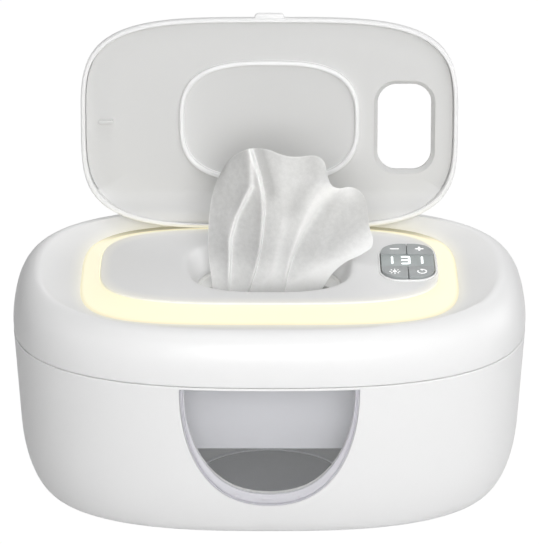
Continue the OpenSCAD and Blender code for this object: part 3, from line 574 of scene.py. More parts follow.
def window_outline(inset, foot, count=WINDOW_RING):
    """X and Z of the window outline, from its top right corner round by the bottom."""
    t = np.linspace(0, math.pi, 2001)
    x = (WINDOW_X - inset) * np.sign(np.cos(t)) * np.abs(np.cos(t)) ** (2 / WINDOW_N)
    z = WINDOW_Z - (WINDOW_H - foot) * np.abs(np.sin(t)) ** (2 / WINDOW_N)
    walked = np.concatenate([[0], np.cumsum(np.hypot(np.diff(x), np.diff(z)))])
    top = max(2, count // 4)
    marks = np.linspace(0, walked[-1], count - top)
    xs, zs = np.interp(marks, walked, x), np.interp(marks, walked, z)
    back = np.linspace(xs[-1], xs[0], top + 2)[1:-1]
    return np.r_[xs, back], np.r_[zs, np.full(top, WINDOW_Z)]


def wall_y(x, z, depth=0.0):
    """Where the front wall is, depth inside its outer face."""
    more = 0.0
    if z < FOOT_GAP + UNDER_H:
        s = (FOOT_GAP + UNDER_H - z) / UNDER_H
        more = UNDER_W * (1 - math.sqrt(max(0.0, 1 - s * s)))
    inset = taper_in(z) + more + depth
    a, b = CASE_X - inset, CASE_Y - inset
    return -b * (1 - min(1.0, abs(x) / a) ** CASE_N) ** (1 / CASE_N)


def wall_ring(inset, foot, depth, shrink=1.0):
    """The window outline laid on the wall, shrunk towards the middle of the window."""
    xs, zs = window_outline(inset, foot)
    middle = WINDOW_Z - WINDOW_H * 0.42
    xs, zs = xs * shrink, middle + (zs - middle) * shrink
    return np.array([[x, wall_y(x, z, depth), z] for x, z in zip(xs, zs)]) * MM


def flat_ring(inset, foot, y):
    xs, zs = window_outline(inset, foot)
    return np.c_[xs, np.full(len(xs), y), zs] * MM


# %% Cut the window
window_cutter = loft("window_cutter", [flat_ring(0, 0, -CASE_Y - 8), flat_ring(0, 0, -CASE_Y + 34)])


def cut(obj, cutter, operation="DIFFERENCE"):
    add_modifier(obj, "BOOLEAN", operation=operation, solver="EXACT", object=cutter)
    bpy.data.objects.remove(cutter, do_unlink=True)


def lay_bar(name, x0, x1, y, z, radius, sides=48):
    """A round bar along X."""
    bpy.ops.object.select_all(action="DESELECT")
    bpy.ops.mesh.primitive_cylinder_add(vertices=sides, radius=radius * MM, depth=(x1 - x0) * MM,
                                        location=((x0 + x1) / 2 * MM, y * MM, z * MM), rotation=(0, math.pi / 2, 0))
    obj = bpy.context.object
    obj.name = obj.data.name = name
    bpy.ops.object.transform_apply(location=True, rotation=True, scale=True)
    return obj


def join(target, *others):
    select_only(target)
    for other in others:
        other.select_set(True)
    bpy.ops.object.join()
    return target


# %% Rear hinge of the case
REAR_Y = CASE_Y + 0.2
REAR_Z = SEAM_Z + 0.2
REAR_R = 2.3
KNUCKLE = 12.0
KNUCKLES = 5
KNUCKLE_GAP = 0.4


def rear_knuckles(obj, first, operation, radius, grow):
    for k in range(first, KNUCKLES, 2):
        x = (k - KNUCKLES / 2) * KNUCKLE
        knuckle = lay_bar("knuckle", x + KNUCKLE_GAP / 2 - grow, x + KNUCKLE - KNUCKLE_GAP / 2 + grow,
                          REAR_Y, REAR_Z, radius)
        if operation == "UNION":
            soften(knuckle, 0.3)
        cut(obj, knuckle, operation)


cut(lower_case, window_cutter)
rear_knuckles(lower_case, 0, "UNION", REAR_R, 0)
rear_knuckles(lower_case, 1, "DIFFERENCE", REAR_R + 0.3, KNUCKLE_GAP / 2)
smooth(lower_case, 35)
give(lower_case, "base", abs_case, ["lower_shell"])

# %% [markdown]
# ## The window
#
# The clear frame is one moulding with a flange that widens at the foot of the window, where the
# real one snaps in. It follows the curve of the wall, so its rings are laid on the wall and
# joined front to back. The pane inside it is built from rings that close towards its middle.

# %% Window frame and pane
LENS_IN = 0.35
LENS_T = 1.6
# Each ring: how far it lies inside the outline at the sides and at the foot, and its depth.
FRAME_PROFILE = [(0.25, 0.25, 0.3), (0.3, 0.3, -0.1), (0.7, 0.8, -0.15), (0.85, 1.0, 1.0), (1.35, 1.6, 1.0),
                 (1.6, 2.0, -0.1), (1.95, 3.0, -0.05), (2.1, 5.6, 0.25), (FRAME_SIDE, FRAME_FOOT, 0.6),
                 (FRAME_SIDE, FRAME_FOOT, LENS_T), (0.25, 0.25, LENS_T)]
window_frame = loft("window_frame", [wall_ring(side, foot, depth) for side, foot, depth in FRAME_PROFILE], joined=True)


def on_wall(x, z, depth):
    return Vector((x, wall_y(x, z, depth), z)) * MM


# Two snap clips and a wider catch stand on the foot of the frame.
for x, z, w in ((-14.6, 26.7, 3.0), (14.6, 26.7, 3.0), (0, 25.2, 7.0)):
    bpy.ops.object.select_all(action="DESELECT")
    bpy.ops.mesh.primitive_cube_add(size=1, location=on_wall(x, z, 0.15))
    clip = bpy.context.object
    clip.scale = (w * MM, 0.9 * MM, 1.3 * MM)
    bpy.ops.object.transform_apply(location=True, rotation=True, scale=True)
    soften(clip, 0.25)
    cut(window_frame, clip, "UNION")
smooth(window_frame, 40)
give(window_frame, "base", frame_acrylic, ["window_frame"])

window_pane = loft("window_pane",
                   [wall_ring(FRAME_SIDE + 0.1, FRAME_FOOT + 0.1, LENS_IN, s) for s in (0.1, 0.25, 0.4, 0.55, 0.7, 0.85, 1)]
                   + [wall_ring(FRAME_SIDE + 0.1, FRAME_FOOT + 0.1, LENS_IN + LENS_T, s)
                      for s in (1, 0.85, 0.7, 0.55, 0.4, 0.25, 0.1)])
smooth(window_pane, 40)
give(window_pane, "base", clear_pane, ["window_lens"])

# %% [markdown]
# ## The upper case
#
# The upper half swells from the seam to its widest line and then rolls over into a soft crest.
# From there it dips inwards to the lit band. The same loft runs up the outside, over the crest,
# into the hole for the deck and back down the inside.

# %% Sizes of the shoulder and deck
deck_low, deck_high = (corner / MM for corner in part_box("deck"))
ring_low, ring_high = (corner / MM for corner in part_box("light_ring"))
TOP_Z = SEAM_Z + 0.4
BELLY_Z = SEAM_Z + 4
CREST_Z = SEAM_Z + 27.8
CREST_IN = 12.0
FRONT_DIP = 3.4
DECK_Z = SEAM_Z + 26.8
DECK_Y = (ring_low.y + ring_high.y) / 2
DECK_A = deck_high.x
DECK_B = DECK_Y - deck_low.y
GLOW_A = ring_high.x
GLOW_B = (ring_high.y - ring_low.y) / 2
GLOW_Z = DECK_Z - 3.9
# The visible edge of the deck and the outer edge of the band, as half sizes, exponent and middle.
EDGE_A, EDGE_B, EDGE_N, EDGE_Y = DECK_A - 0.4, DECK_B - 0.4, 3.4, DECK_Y - 0.6
BAND_A, BAND_B, BAND_N, BAND_Y = GLOW_A + 1.0, GLOW_B + 0.2, 3.5, DECK_Y - 1.2
BAND_FRONT_N = 4.1
print("deck half sizes", round(DECK_A, 1), round(DECK_B, 1), "band", round(GLOW_A, 1), round(GLOW_B, 1))


def step(x, low, high):
    u = np.clip((x - low) / (high - low), 0, 1)
    return u * u * (3 - 2 * u)


def dip_front(points, share=1.0):
    """Lowers a level towards the front, so that the crest does not hide the lit band there."""
    points = points.copy()
    points[:, 2] -= FRONT_DIP * MM * share * step(-points[:, 1] / MM, 8, 56)
    return points


def shoulder(degrees, thick=0.0):
    """A level of the upper wall, from its belly at 0 to its crest at 90 degrees."""
    a = math.radians(degrees)
    inset = (CREST_IN - thick / 2) * (1 - math.cos(a)) + thick
    points = level(CASE_X - inset, CASE_Y - inset, CASE_N, BELLY_Z + (CREST_Z - BELLY_Z - thick) * math.sin(a))
    return dip_front(points, math.sin(a) ** 2)


def towards_deck(share, drop=0.0):
    """A level between the crest and the edge of the lit band."""
    a = (CASE_X - CREST_IN - 0.6) * (1 - share) + (BAND_A + 0.3) * share
    b = (CASE_Y - CREST_IN - 0.6) * (1 - share) + (BAND_B + 0.3) * share
    n, n_front = (CASE_N * (1 - share) + end * share for end in (BAND_N, BAND_FRONT_N))
    points = level(a, b, n, (CREST_Z - 0.1) * (1 - share) + GLOW_Z * share - drop, BAND_Y * share, n_front)
    return dip_front(points, 1 - share)


HALO_POWER, HALO_REACH = 0.12, 7.0


def paint_halo_glow(obj, half_x, half_y, n, y, n_front=None):
    """Writes on each vertex the strength of a painted glow for the band's light, fading with distance from an oval."""
    xs, ys = oval(half_x, half_y, n, 720, n_front)
    edge_points = np.c_[xs, ys + y]
    places = np.array([vertex.co[:2] for vertex in obj.data.vertices]) / MM
    away = np.array([np.hypot(*(edge_points - place).T).min() for place in places])
    near = obj.data.attributes.new("painted_halo_glow", "FLOAT", "POINT")
    near.data.foreach_set("value", HALO_POWER * np.clip(1 - away / HALO_REACH, 0, 1) ** 1.5)


# %% Upper case
upper_case = loft("upper_case",
                  [level(CASE_X - 0.2 - LIP_ROUND, CASE_Y - 0.2 - LIP_ROUND, CASE_N, TOP_Z),
                   level(CASE_X - 0.2, CASE_Y - 0.2, CASE_N, TOP_Z + LIP_ROUND)]
                  + [shoulder(a) for a in range(0, 79, 6)]
                  + [shoulder(84), towards_deck(0.03), towards_deck(0.1, 0.05), towards_deck(0.3, 0.1),
                     towards_deck(0.55, 0.1), towards_deck(0.7, 0.08), towards_deck(0.8, 0.05), towards_deck(0.88, 0.03),
                     towards_deck(0.95), towards_deck(1, 0.25), towards_deck(1, 2.2)]
                  + [shoulder(a, WALL) for a in range(80, -1, -16)]
                  + [level(CASE_X - WALL, CASE_Y - WALL, CASE_N, TOP_Z)], joined=True)
rear_knuckles(upper_case, 1, "UNION", REAR_R, 0)
rear_knuckles(upper_case, 0, "DIFFERENCE", REAR_R + 0.3, KNUCKLE_GAP / 2)

JACK_X, JACK_Z, JACK_R = -50.0, SEAM_Z + 13, 5.0
bpy.ops.object.select_all(action="DESELECT")
bpy.ops.mesh.primitive_cylinder_add(vertices=64, radius=(JACK_R + 0.2) * MM, depth=12 * MM,
                                    location=(JACK_X * MM, CASE_Y * MM - 5 * MM, JACK_Z * MM), rotation=(math.pi / 2, 0, 0))
cut(upper_case, bpy.context.object)
smooth(upper_case, 32)
paint_halo_glow(upper_case, BAND_A, BAND_B, BAND_N, BAND_Y, BAND_FRONT_N)
give(upper_case, "top", abs_painted_glow, ["upper_shell"])

# %% [markdown]
# ## The deck
#
# The deck is a thin oval plate with a soft dish pressed into it. The dish falls steeply at first
# and ends in the hole over the gate. Two small ears behind it carry the lid's pin.

# %% Deck with its dish
DISH_A, DISH_B, DISH_N, DISH_H = 39.5, 28.5, 2.7, 10.4
DECK_T = 2.2
DISH_STEPS = [(-2.2, -1.8, 0.0), (0.0, 0.0, 0.12), (0.9, 1.0, 0.6), (1.8, 2.0, 1.7), (2.9, 3.2, 4.4),
              (4.0, 4.5, 6.8), (4.9, 5.5, 8.6), (5.8, 6.4, 10.4)]


def deck_level(inset, z):
    return level(EDGE_A - inset, EDGE_B - inset, EDGE_N, z, EDGE_Y)


def dish_level(in_x, in_y, z):
    return level(DISH_A - in_x, DISH_B - in_y, DISH_N, z)


deck_plate = loft("deck_plate",
                  [deck_level(0.1, DECK_Z - 3.2), deck_level(0, DECK_Z - 0.7), deck_level(0.2, DECK_Z - 0.2),
                   deck_level(0.7, DECK_Z), deck_level(2, DECK_Z), deck_level(3.5, DECK_Z), deck_level(5.5, DECK_Z)]
                  + [dish_level(-8, -6, DECK_Z)]
                  + [dish_level(x, y, DECK_Z - z) for x, y, z in DISH_STEPS]
                  + [dish_level(5.8, 6.4, DECK_Z - DISH_H - 1.2), dish_level(3.8, 4.4, DECK_Z - DISH_H - 1.2),
                     dish_level(0.6, 0.8, DECK_Z - DISH_H * 0.42), dish_level(-2.5, -2.5, DECK_Z - DECK_T),
                     deck_level(1.8, DECK_Z - DECK_T), deck_level(1.8, DECK_Z - 3.2)], joined=True)

# %% [markdown]
# The key pad sits in a hole with round corners. A plane is bevelled at its four corners, and
# then extruded into a cutter. The same helper makes the bezel, the keys and the display strip.

# %% Rounded blocks
PANEL_X, PANEL_Y = 64.5, 0.7
PANEL_W, PANEL_D, PANEL_R = 27.2, 37.7, 10.6
BEZEL_LIP = 0.9
CUTOUT_Y = 3.1
KEY_W, KEY_D = PANEL_W - 2 * BEZEL_LIP, PANEL_D - 2 * BEZEL_LIP
KEY_GAP = 0.35
DISPLAY_D = 12.6
KEY_RISE = 2.2
KEY_ROUND = 1.3


def rounded_block(name, x0, x1, y0, y1, z0, z1, radii, segments=12):
    """A block from z0 to z1. radii are for its corners, by the signs of (x, y)."""
    bpy.ops.object.select_all(action="DESELECT")
    bpy.ops.mesh.primitive_plane_add(size=1, location=(0, 0, 0))
    obj = bpy.context.object
    obj.name = obj.data.name = name
    middle = Vector(((x0 + x1) / 2, (y0 + y1) / 2, z0)) * MM
    obj.scale = ((x1 - x0) * MM, (y1 - y0) * MM, 1)
    obj.location = middle
    bpy.ops.object.transform_apply(location=True, rotation=True, scale=True)
    edit(obj)
    for (sx, sy), radius in radii.items():
        corner = Vector((x1 if sx > 0 else x0, y1 if sy > 0 else y0, z0))
        pick(obj, lambda c: (c - corner).length < 0.01)
        bpy.ops.mesh.bevel(offset=radius * MM, segments=segments, affect="VERTICES")
    pick(obj, lambda c: True, "FACE")
    bpy.ops.mesh.extrude_region_move(TRANSFORM_OT_translate={"value": (0, 0, (z1 - z0) * MM)})
    bpy.ops.mesh.select_all(action="SELECT")
    bpy.ops.mesh.normals_make_consistent(inside=False)
    leave_edit()
    return obj


def all_corners(radius):
    return {(sx, sy): radius for sx in (-1, 1) for sy in (-1, 1)}


def centred_block(name, x, y, w, d, z0, z1, radius):
    return rounded_block(name, x - w / 2, x + w / 2, y - d / 2, y + d / 2, z0, z1, all_corners(radius))


cut(deck_plate, centred_block("pad_cutter", PANEL_X, PANEL_Y, KEY_W, KEY_D, DECK_Z - 9, DECK_Z + 3, PANEL_R - BEZEL_LIP))

# %% Ears for the lid
LID_A, LID_B, LID_N = 89.8, 50.9, 3.8
HINGE_Y = DECK_Y + LID_B - 4.3
HINGE_Z = DECK_Z + 2.0
EAR_X, EAR_L, EAR_R = 21.0, 6.0, 3.2
LINER_Z = DECK_Z - 2.2 + 5.7

for side in (-1, 1):
    ear = lay_bar("ear", side * EAR_X - EAR_L / 2, side * EAR_X + EAR_L / 2, HINGE_Y, HINGE_Z, EAR_R)
    soften(ear, 0.4)
    arm = centred_block("arm", side * EAR_X, HINGE_Y - 6.2, EAR_L, 11.6, DECK_Z + 0.8, LINER_Z - 0.3, 0.8)
    foot = centred_block("foot", side * EAR_X, HINGE_Y - 10.0, EAR_L, 4.0, DECK_Z - 1, LINER_Z - 0.3, 0.8)
    for part in (ear, arm, foot):
        cut(deck_plate, part, "UNION")
smooth(deck_plate, 32)
paint_halo_glow(deck_plate, EDGE_A, EDGE_B, EDGE_N, EDGE_Y)
give(deck_plate, "top", abs_painted_glow, ["deck"])

# %% [markdown]
# ## The lit band
#
# The band falls from the edge of the deck to the shoulder, steeply at first and then ever more
# gently, which leaves room for the rear wall of the lid to swing past it.

# %% Light band
BAND_FALL = 0.45


def band_level(share, drop=0.0):
    a = (EDGE_A + 0.3) * (1 - share) + BAND_A * share
    b = (EDGE_B + 0.3) * (1 - share) + BAND_B * share
    n, n_front = (EDGE_N * (1 - share) + end * share for end in (BAND_N, BAND_FRONT_N))
    z = DECK_Z - 0.3 - (DECK_Z - GLOW_Z - 0.2) * share ** BAND_FALL
    return level(a, b, n, z - drop, EDGE_Y * (1 - share) + BAND_Y * share, n_front)


def under_band(more, drop):
    return level(EDGE_A + more, EDGE_B + more, EDGE_N, DECK_Z - drop, EDGE_Y)


light_band = loft("light_band",
                  [band_level(1.03, 2), band_level(1.03, 0.3), band_level(1, 0.1), band_level(0.98), band_level(0.85), band_level(0.78), band_level(0.7),
                   band_level(0.62), band_level(0.55), band_level(0.4), band_level(0.28), band_level(0.17),
                   band_level(0.08), band_level(0.03), band_level(0.005), under_band(0.3, 3.6), under_band(-1.5, 3.6),
                   under_band(-1.5, 5.2), under_band(0.6, 5.2)], joined=True)
# Painted shade: behind, the band's outer part is almost unlit, for the lid's shadow; its outer edge glows a fifth less.
lit = light_band.data.attributes.new("band_glow_with_painted_shade", "FLOAT", "POINT")
for vertex, item in zip(light_band.data.vertices, lit.data):
    fallen = min(1.0, max(0.0, (DECK_Z - 0.3 - vertex.co.z / MM) / (DECK_Z - GLOW_Z - 0.2)))
    out = fallen ** (1 / BAND_FALL)
    behind = step(vertex.co.y / MM, 30, 46)
    item.value = (1 - 0.2 * step(out, 0.85, 1.0)) * (1 - 0.85 * behind * step(out, 0.5, 0.72))
smooth(light_band, 32)
give(light_band, "top", glow_band, ["light_ring"])

# %% [markdown]
# ## The gate
#
# Down in the dish, a soft silicone gate holds the wipe. It is an oval cup with a slot in it.

# %% Gate
GATE_Z = DECK_Z - DISH_H - 3.4
GATE_A, GATE_B = 34.1, 22.1
SLOT_A, SLOT_B = 29.0, 8.5
gate = loft("gate", [
    level(GATE_A + 1.2, GATE_B + 1.2, 2.7, GATE_Z), level(GATE_A + 1.2, GATE_B + 1.2, 2.7, GATE_Z + 1.1),
    level(GATE_A, GATE_B, 2.7, GATE_Z + 1.2), level(GATE_A, GATE_B, 2.7, DECK_Z - DISH_H - 1.4),
    level(GATE_A - 1.5, GATE_B - 1.5, 2.7, DECK_Z - DISH_H - 1.4), level(GATE_A - 2, GATE_B - 2, 2.7, GATE_Z + 1.5),
    level(SLOT_A + 1, SLOT_B + 1, 2.2, GATE_Z + 1.3), level(SLOT_A, SLOT_B, 2.2, GATE_Z + 0.9),
    level(SLOT_A, SLOT_B, 2.2, GATE_Z)], joined=True)
smooth(gate, 35)
give(gate, "top", silicone, ["wipe_gate"])

# %% [markdown]
# ## Key pad
#
# Four keys and a display strip share one rounded field inside a thin white bezel. Each key is a
# block whose outer corner is large and whose inner corners are nearly sharp. Its upper edges
# are rounded, which is what draws the bright line along the front of the pad.

# %% Bezel, keys and strip
KEY_TOP = DECK_Z + KEY_RISE
KEY_Z = DECK_Z - 3.4
bezel = centred_block("bezel", PANEL_X, PANEL_Y, PANEL_W, PANEL_D, DECK_Z, DECK_Z + 1.0, PANEL_R)
cut(bezel, centred_block("bezel_cutter", PANEL_X, PANEL_Y, KEY_W, KEY_D, DECK_Z - 1, DECK_Z + 2, PANEL_R - BEZEL_LIP))
soften(bezel, 0.35)
smooth(bezel, 40)
give(bezel, "top", abs_rib, ["keypad_bezel"])

half_w, half_d = KEY_W / 2 - KEY_GAP, KEY_D / 2 - KEY_GAP
KEYS = {"minus": (-1, 1), "plus": (1, 1), "light": (-1, -1), "power": (1, -1)}


def raise_key(name, sx, sy):
    x0, x1 = (KEY_GAP / 2, half_w) if sx > 0 else (-half_w, -KEY_GAP / 2)
    y0, y1 = (DISPLAY_D / 2 + KEY_GAP / 2, half_d) if sy > 0 else (-half_d, -DISPLAY_D / 2 - KEY_GAP / 2)
    corners = {(cx, cy): (PANEL_R - BEZEL_LIP - KEY_GAP if (cx, cy) == (sx, sy) else 0.35)
               for cx in (-1, 1) for cy in (-1, 1)}
    key = rounded_block(name, PANEL_X + x0, PANEL_X + x1, PANEL_Y + y0, PANEL_Y + y1, KEY_Z, KEY_TOP, corners)
    inner_x, inner_y = PANEL_X + (x0 if sx > 0 else x1), PANEL_Y + (y0 if sy > 0 else y1)

    def on_rim(c, outside):
        inside_edge = abs(c.x - inner_x) < 0.2 or abs(c.y - inner_y) < 0.2
        return abs(c.z - KEY_TOP) < 0.01 and inside_edge != outside

    edit(key)
    pick(key, lambda c: on_rim(c, True), "EDGE")
    bpy.ops.mesh.bevel(offset=KEY_ROUND * MM, segments=6, affect="EDGES", clamp_overlap=True)
    pick(key, lambda c: on_rim(c, False), "EDGE")
    bpy.ops.mesh.bevel(offset=0.25 * MM, segments=2, affect="EDGES", clamp_overlap=True)
    leave_edit()
    smooth(key, 40)
    return key


key_pieces = {}
for key_name, (sx, sy) in KEYS.items():
    key_pieces[key_name] = raise_key(f"{key_name}_key_cap", sx, sy)
    give(key_pieces[key_name], f"{key_name}_key", grey_key, [f"{key_name}_button"])

STRIP_TOP = KEY_TOP - 0.3
strip = centred_block("display_strip", PANEL_X, PANEL_Y, KEY_W - 2 * KEY_GAP, DISPLAY_D - KEY_GAP,
                      STRIP_TOP - 1.6, STRIP_TOP, 0.3)
soften(strip, 0.25)
smooth(strip, 40)
give(strip, "top", smoked_strip, ["display_lens"])

# %% [markdown]
# The signs are thin raised shapes of ink: a bar, a cross, a small sun and a power mark. They
# ride on their own keys. The display shows three figures made of separate bars.

# %% Signs and figures
INK_T = 0.08


def ink_bar(x, y, w, d, z, turn=0.0):
    """A small bar of ink with round corners, turned about its middle."""
    bar = centred_block("ink", 0, 0, w, d, z - 0.05, z + INK_T, min(w, d) * 0.42)
    edit(bar)
    bpy.ops.mesh.select_all(action="SELECT")
    bpy.ops.transform.rotate(value=-turn, orient_axis="Z", center_override=(0, 0, 0))
    bpy.ops.transform.translate(value=(x * MM, y * MM, 0))
    leave_edit()
    return bar


def ink_arc(x, y, radius, width, z, gap_degrees, steps=40):
    """An open ring of ink, spun from one small square and open at the rear."""
    bpy.ops.object.select_all(action="DESELECT")
    bpy.ops.mesh.primitive_plane_add(size=1, location=(0, 0, 0), rotation=(math.pi / 2, 0, 0))
    arc = bpy.context.object
    arc.scale = (width * MM, (INK_T + 0.05) * MM, 1)
    arc.location = (radius * MM, 0, (z + (INK_T - 0.05) / 2) * MM)
    bpy.ops.object.transform_apply(location=True, rotation=True, scale=True)
    edit(arc)
    bpy.ops.mesh.select_all(action="SELECT")
    start = math.radians(90 + gap_degrees / 2)
    bpy.ops.transform.rotate(value=-start, orient_axis="Z", center_override=(0, 0, 0))
    bpy.ops.mesh.spin(steps=steps, angle=math.radians(360 - gap_degrees), center=(0, 0, 0), axis=(0, 0, 1))
    bpy.ops.mesh.select_all(action="SELECT")
    bpy.ops.mesh.remove_doubles(threshold=1e-7)
    bpy.ops.mesh.normals_make_consistent(inside=False)
    bpy.ops.transform.translate(value=(x * MM, y * MM, 0))
    leave_edit()
    return arc


def key_middle(sx, sy):
    return PANEL_X + sx * KEY_W / 4, PANEL_Y + sy * (KEY_D / 4 + DISPLAY_D / 4)


def give_sign(name, parts, key_name):
    sign = join(parts[0], *parts[1:])
    sign.name = sign.data.name = name
    give(sign, f"{key_name}_key", white_ink_painted_glow)


mx, my = key_middle(-1, 1)
give_sign("minus_sign", [ink_bar(mx + 0.6, my, 4.3, 1.0, KEY_TOP)], "minus")
mx, my = key_middle(1, 1)
give_sign("plus_sign", [ink_bar(mx - 0.4, my, 4.1, 1.0, KEY_TOP), ink_bar(mx - 0.4, my, 1.0, 4.1, KEY_TOP + 0.01)], "plus")
mx, my = key_middle(-1, -1)
rays = [ink_bar(mx + 2.1 * math.cos(a), my + 2.1 * math.sin(a), 1.0, 0.45, KEY_TOP, a)
        for a in [k * math.pi / 4 for k in range(8)]]
give_sign("light_sign", [ink_bar(mx, my, 1.8, 1.8, KEY_TOP)] + rays, "light")
mx, my = key_middle(1, -1)
give_sign("power_sign", [ink_arc(mx, my, 2.0, 0.6, KEY_TOP, 40), ink_bar(mx, my + 1.7, 0.6, 1.4, KEY_TOP)], "power")

FIGURE_W, FIGURE_STEP = 3.9, 3.6
UPRIGHT_T, FLAT_T = 1.0, 1.25


def figure(x, y, segments):
    """Bars of one figure: a top, g middle, d bottom, and b, c on the right."""
    places = {"a": (0, FIGURE_STEP, 0), "g": (0, 0, 0), "d": (0, -FIGURE_STEP, 0),
              "b": (FIGURE_W / 2 - 0.1, FIGURE_STEP / 2, 1), "c": (FIGURE_W / 2 - 0.1, -FIGURE_STEP / 2, 1)}
    bars = []
    for letter in segments:
        dx, dy, upright = places[letter]
        w, d = (UPRIGHT_T, FIGURE_STEP + 0.1) if upright else (FIGURE_W, FLAT_T)
        bars.append(ink_bar(x + dx, y + dy, w, d, STRIP_TOP + 0.004 * len(bars)))
    return bars


bars = (figure(PANEL_X - 9.0, PANEL_Y + 0.4, "bc") + figure(PANEL_X - 1.0, PANEL_Y + 0.4, "agdbc")
        + figure(PANEL_X + 5.0, PANEL_Y + 0.4, "bc"))
figures = join(bars[0], *bars[1:])
figures.name = figures.data.name = "display_figures"
give(figures, "top", lit_bars)

# %% [markdown]
# ## The lid
#
# The lid is drawn shut, over the deck, and then swung open about its pin. Its shell is a shallow
# inverted tray with a soft round at the top edge. A flat liner closes its inside, with a raised
# oval rib that sits round the dish when the lid is shut, and a hole that shows the keys.

# %% Sizes of the lid
LID_OPEN = math.radians(102.6)
RIM_Z = DECK_Z - 2.2
LID_TOP = RIM_Z + 9.9
LID_WALL = 2.0
LID_ROUND = 5.0
CUTOUT_W, CUTOUT_D, CUTOUT_R = 25.6, 41.5, 9.0
BARREL_R, ROLL_X, SWING_R = 3.3, 64.0, 4.85
LID_FRONT = DECK_Y - LID_B


def swing_open(obj):
    """Turns a piece of the shut lid back about the hinge."""
    edit(obj)
    bpy.ops.mesh.select_all(action="SELECT")
    bpy.ops.transform.rotate(value=LID_OPEN, orient_axis="X", center_override=(0, HINGE_Y * MM, HINGE_Z * MM))
    leave_edit()


def lid_level(inset, z):
    return level(LID_A - inset, LID_B - inset, LID_N, z, DECK_Y)


def lid_round_level(degrees):
    a = math.radians(degrees)
    return lid_level(LID_ROUND * (1 - math.cos(a)), LID_TOP - LID_ROUND + LID_ROUND * math.sin(a))


# %% Lid shell
lid_shell = loft("lid_case",
                 [lid_level(12, LID_TOP - 1.9), lid_level(LID_WALL + 1, LID_TOP - 1.9), lid_level(LID_WALL, LID_TOP - 2.9),
                  lid_level(LID_WALL, RIM_Z + 0.4), lid_level(LID_WALL - 0.4, RIM_Z), lid_level(0.5, RIM_Z),
                  lid_level(0, RIM_Z + 0.5)]
                 + [lid_round_level(a) for a in range(0, 91, 15)] + [lid_level(LID_ROUND + 8, LID_TOP)])
tab = centred_block("tab", 0, LID_FRONT + 1.5, 14.2, 7.6, RIM_Z + 0.6, RIM_Z + 3.2, 2.0)
soften(tab, 0.6)
cut(lid_shell, tab, "UNION")
cut(lid_shell, centred_block("tab_trim", 0, LID_FRONT + LID_WALL + 3.0, 22, 6.0, RIM_Z - 1, RIM_Z + 5.2, 0.5))
cut(lid_shell, centred_block("key_hole", PANEL_X, CUTOUT_Y, CUTOUT_W + 2.8, CUTOUT_D + 2.8, RIM_Z, LID_TOP + 5, CUTOUT_R + 1.4))
relief = rounded_block("relief", -LID_A, LID_A, HINGE_Y, HINGE_Y + 12, RIM_Z - 2, HINGE_Z, {})
cut(relief, lay_bar("swing", -LID_A - 1, LID_A + 1, HINGE_Y, HINGE_Z, SWING_R, sides=160))
cut(lid_shell, relief)
for side in (-1, 1):
    cut(lid_shell, lay_bar("ear_room", side * EAR_X - EAR_L / 2 - 0.3, side * EAR_X + EAR_L / 2 + 0.3,
                           HINGE_Y, HINGE_Z, EAR_R + 0.35))
swing_open(lid_shell)
smooth(lid_shell, 32)
give(lid_shell, "lid", abs_case, ["lid_shell"])

# %% [markdown]
# The liner ends in the hinge barrel. A soft slope leads down to it, so from the front the inside
# of the lid runs smoothly to a thin lip over the deck. The slope and the barrel are one profile
# drawn in the YZ plane and extruded along X, and the inside of the lid's wall trims it all round.

# %% Hinge lip
SLOPE = [(-14.5, 1.55), (-14, 1.5), (-12, 1.3), (-10, 0.75), (-8, -0.1), (-6.2, -1.15), (-5, -1.9), (-3.5, -2.6),
         (-2.2, -2.95), (-1, -3.15)]


def soft_curve(points, count):
    """Evenly spaced points of a soft curve through a list of points."""
    p = np.array(points, float)
    walked = np.concatenate([[0], np.cumsum(np.linalg.norm(np.diff(p, axis=0), axis=1))])
    slopes = np.gradient(p, walked, axis=0)
    marks = np.linspace(0, walked[-1], count)
    k = np.clip(np.searchsorted(walked, marks, side="right") - 1, 0, len(p) - 2)
    h = (walked[k + 1] - walked[k])[:, None]
    u = (marks - walked[k])[:, None] / h
    return ((2 * u**3 - 3 * u**2 + 1) * p[k] + (u**3 - 2 * u**2 + u) * h * slopes[k]
            + (3 * u**2 - 2 * u**3) * p[k + 1] + (u**3 - u**2) * h * slopes[k + 1])


around = np.radians(np.linspace(-90, 90, 25))
profile = np.r_[soft_curve(SLOPE, 32), np.c_[BARREL_R * np.cos(around), BARREL_R * np.sin(around)], [(-14.5, 2.9)]]
lip_ends = [np.c_[np.full(len(profile), x), profile[:, 0] + HINGE_Y, profile[:, 1] + HINGE_Z] * MM
            for x in (-LID_A, LID_A)]
hinge_lip = loft("hinge_lip", lip_ends)
cut(hinge_lip, loft("lid_inside", [lid_level(LID_WALL + 0.05, RIM_Z - 4), lid_level(LID_WALL + 0.05, LID_TOP + 4)]),
    "INTERSECT")

# %% Lid liner
liner = loft("lid_lining", [lid_level(16, LINER_Z + 1.5), lid_level(LID_WALL + 0.3, LINER_Z + 1.5),
                            lid_level(LID_WALL + 0.3, LINER_Z + 0.1), lid_level(LID_WALL + 0.5, LINER_Z),
                            lid_level(16, LINER_Z)])
cut(liner, centred_block("collar", PANEL_X, CUTOUT_Y, CUTOUT_W + 2.4, CUTOUT_D + 2.4, LINER_Z + 0.2, LID_TOP - 0.1, CUTOUT_R + 1.2), "UNION")
hook = centred_block("hook", -LID_A + 11.8, 0, 7, 1.6, DECK_Z + 0.3, LINER_Z + 0.3, 0.5)
soften(hook, 0.3)
cut(liner, hook, "UNION")
cut(liner, rounded_block("rear_room", -LID_A, LID_A, HINGE_Y - 4, HINGE_Y + 10, RIM_Z, LID_TOP + 4, {}))
cut(liner, hinge_lip, "UNION")
cut(liner, centred_block("hole", PANEL_X, CUTOUT_Y, CUTOUT_W, CUTOUT_D, RIM_Z - 3, LID_TOP + 3, CUTOUT_R))
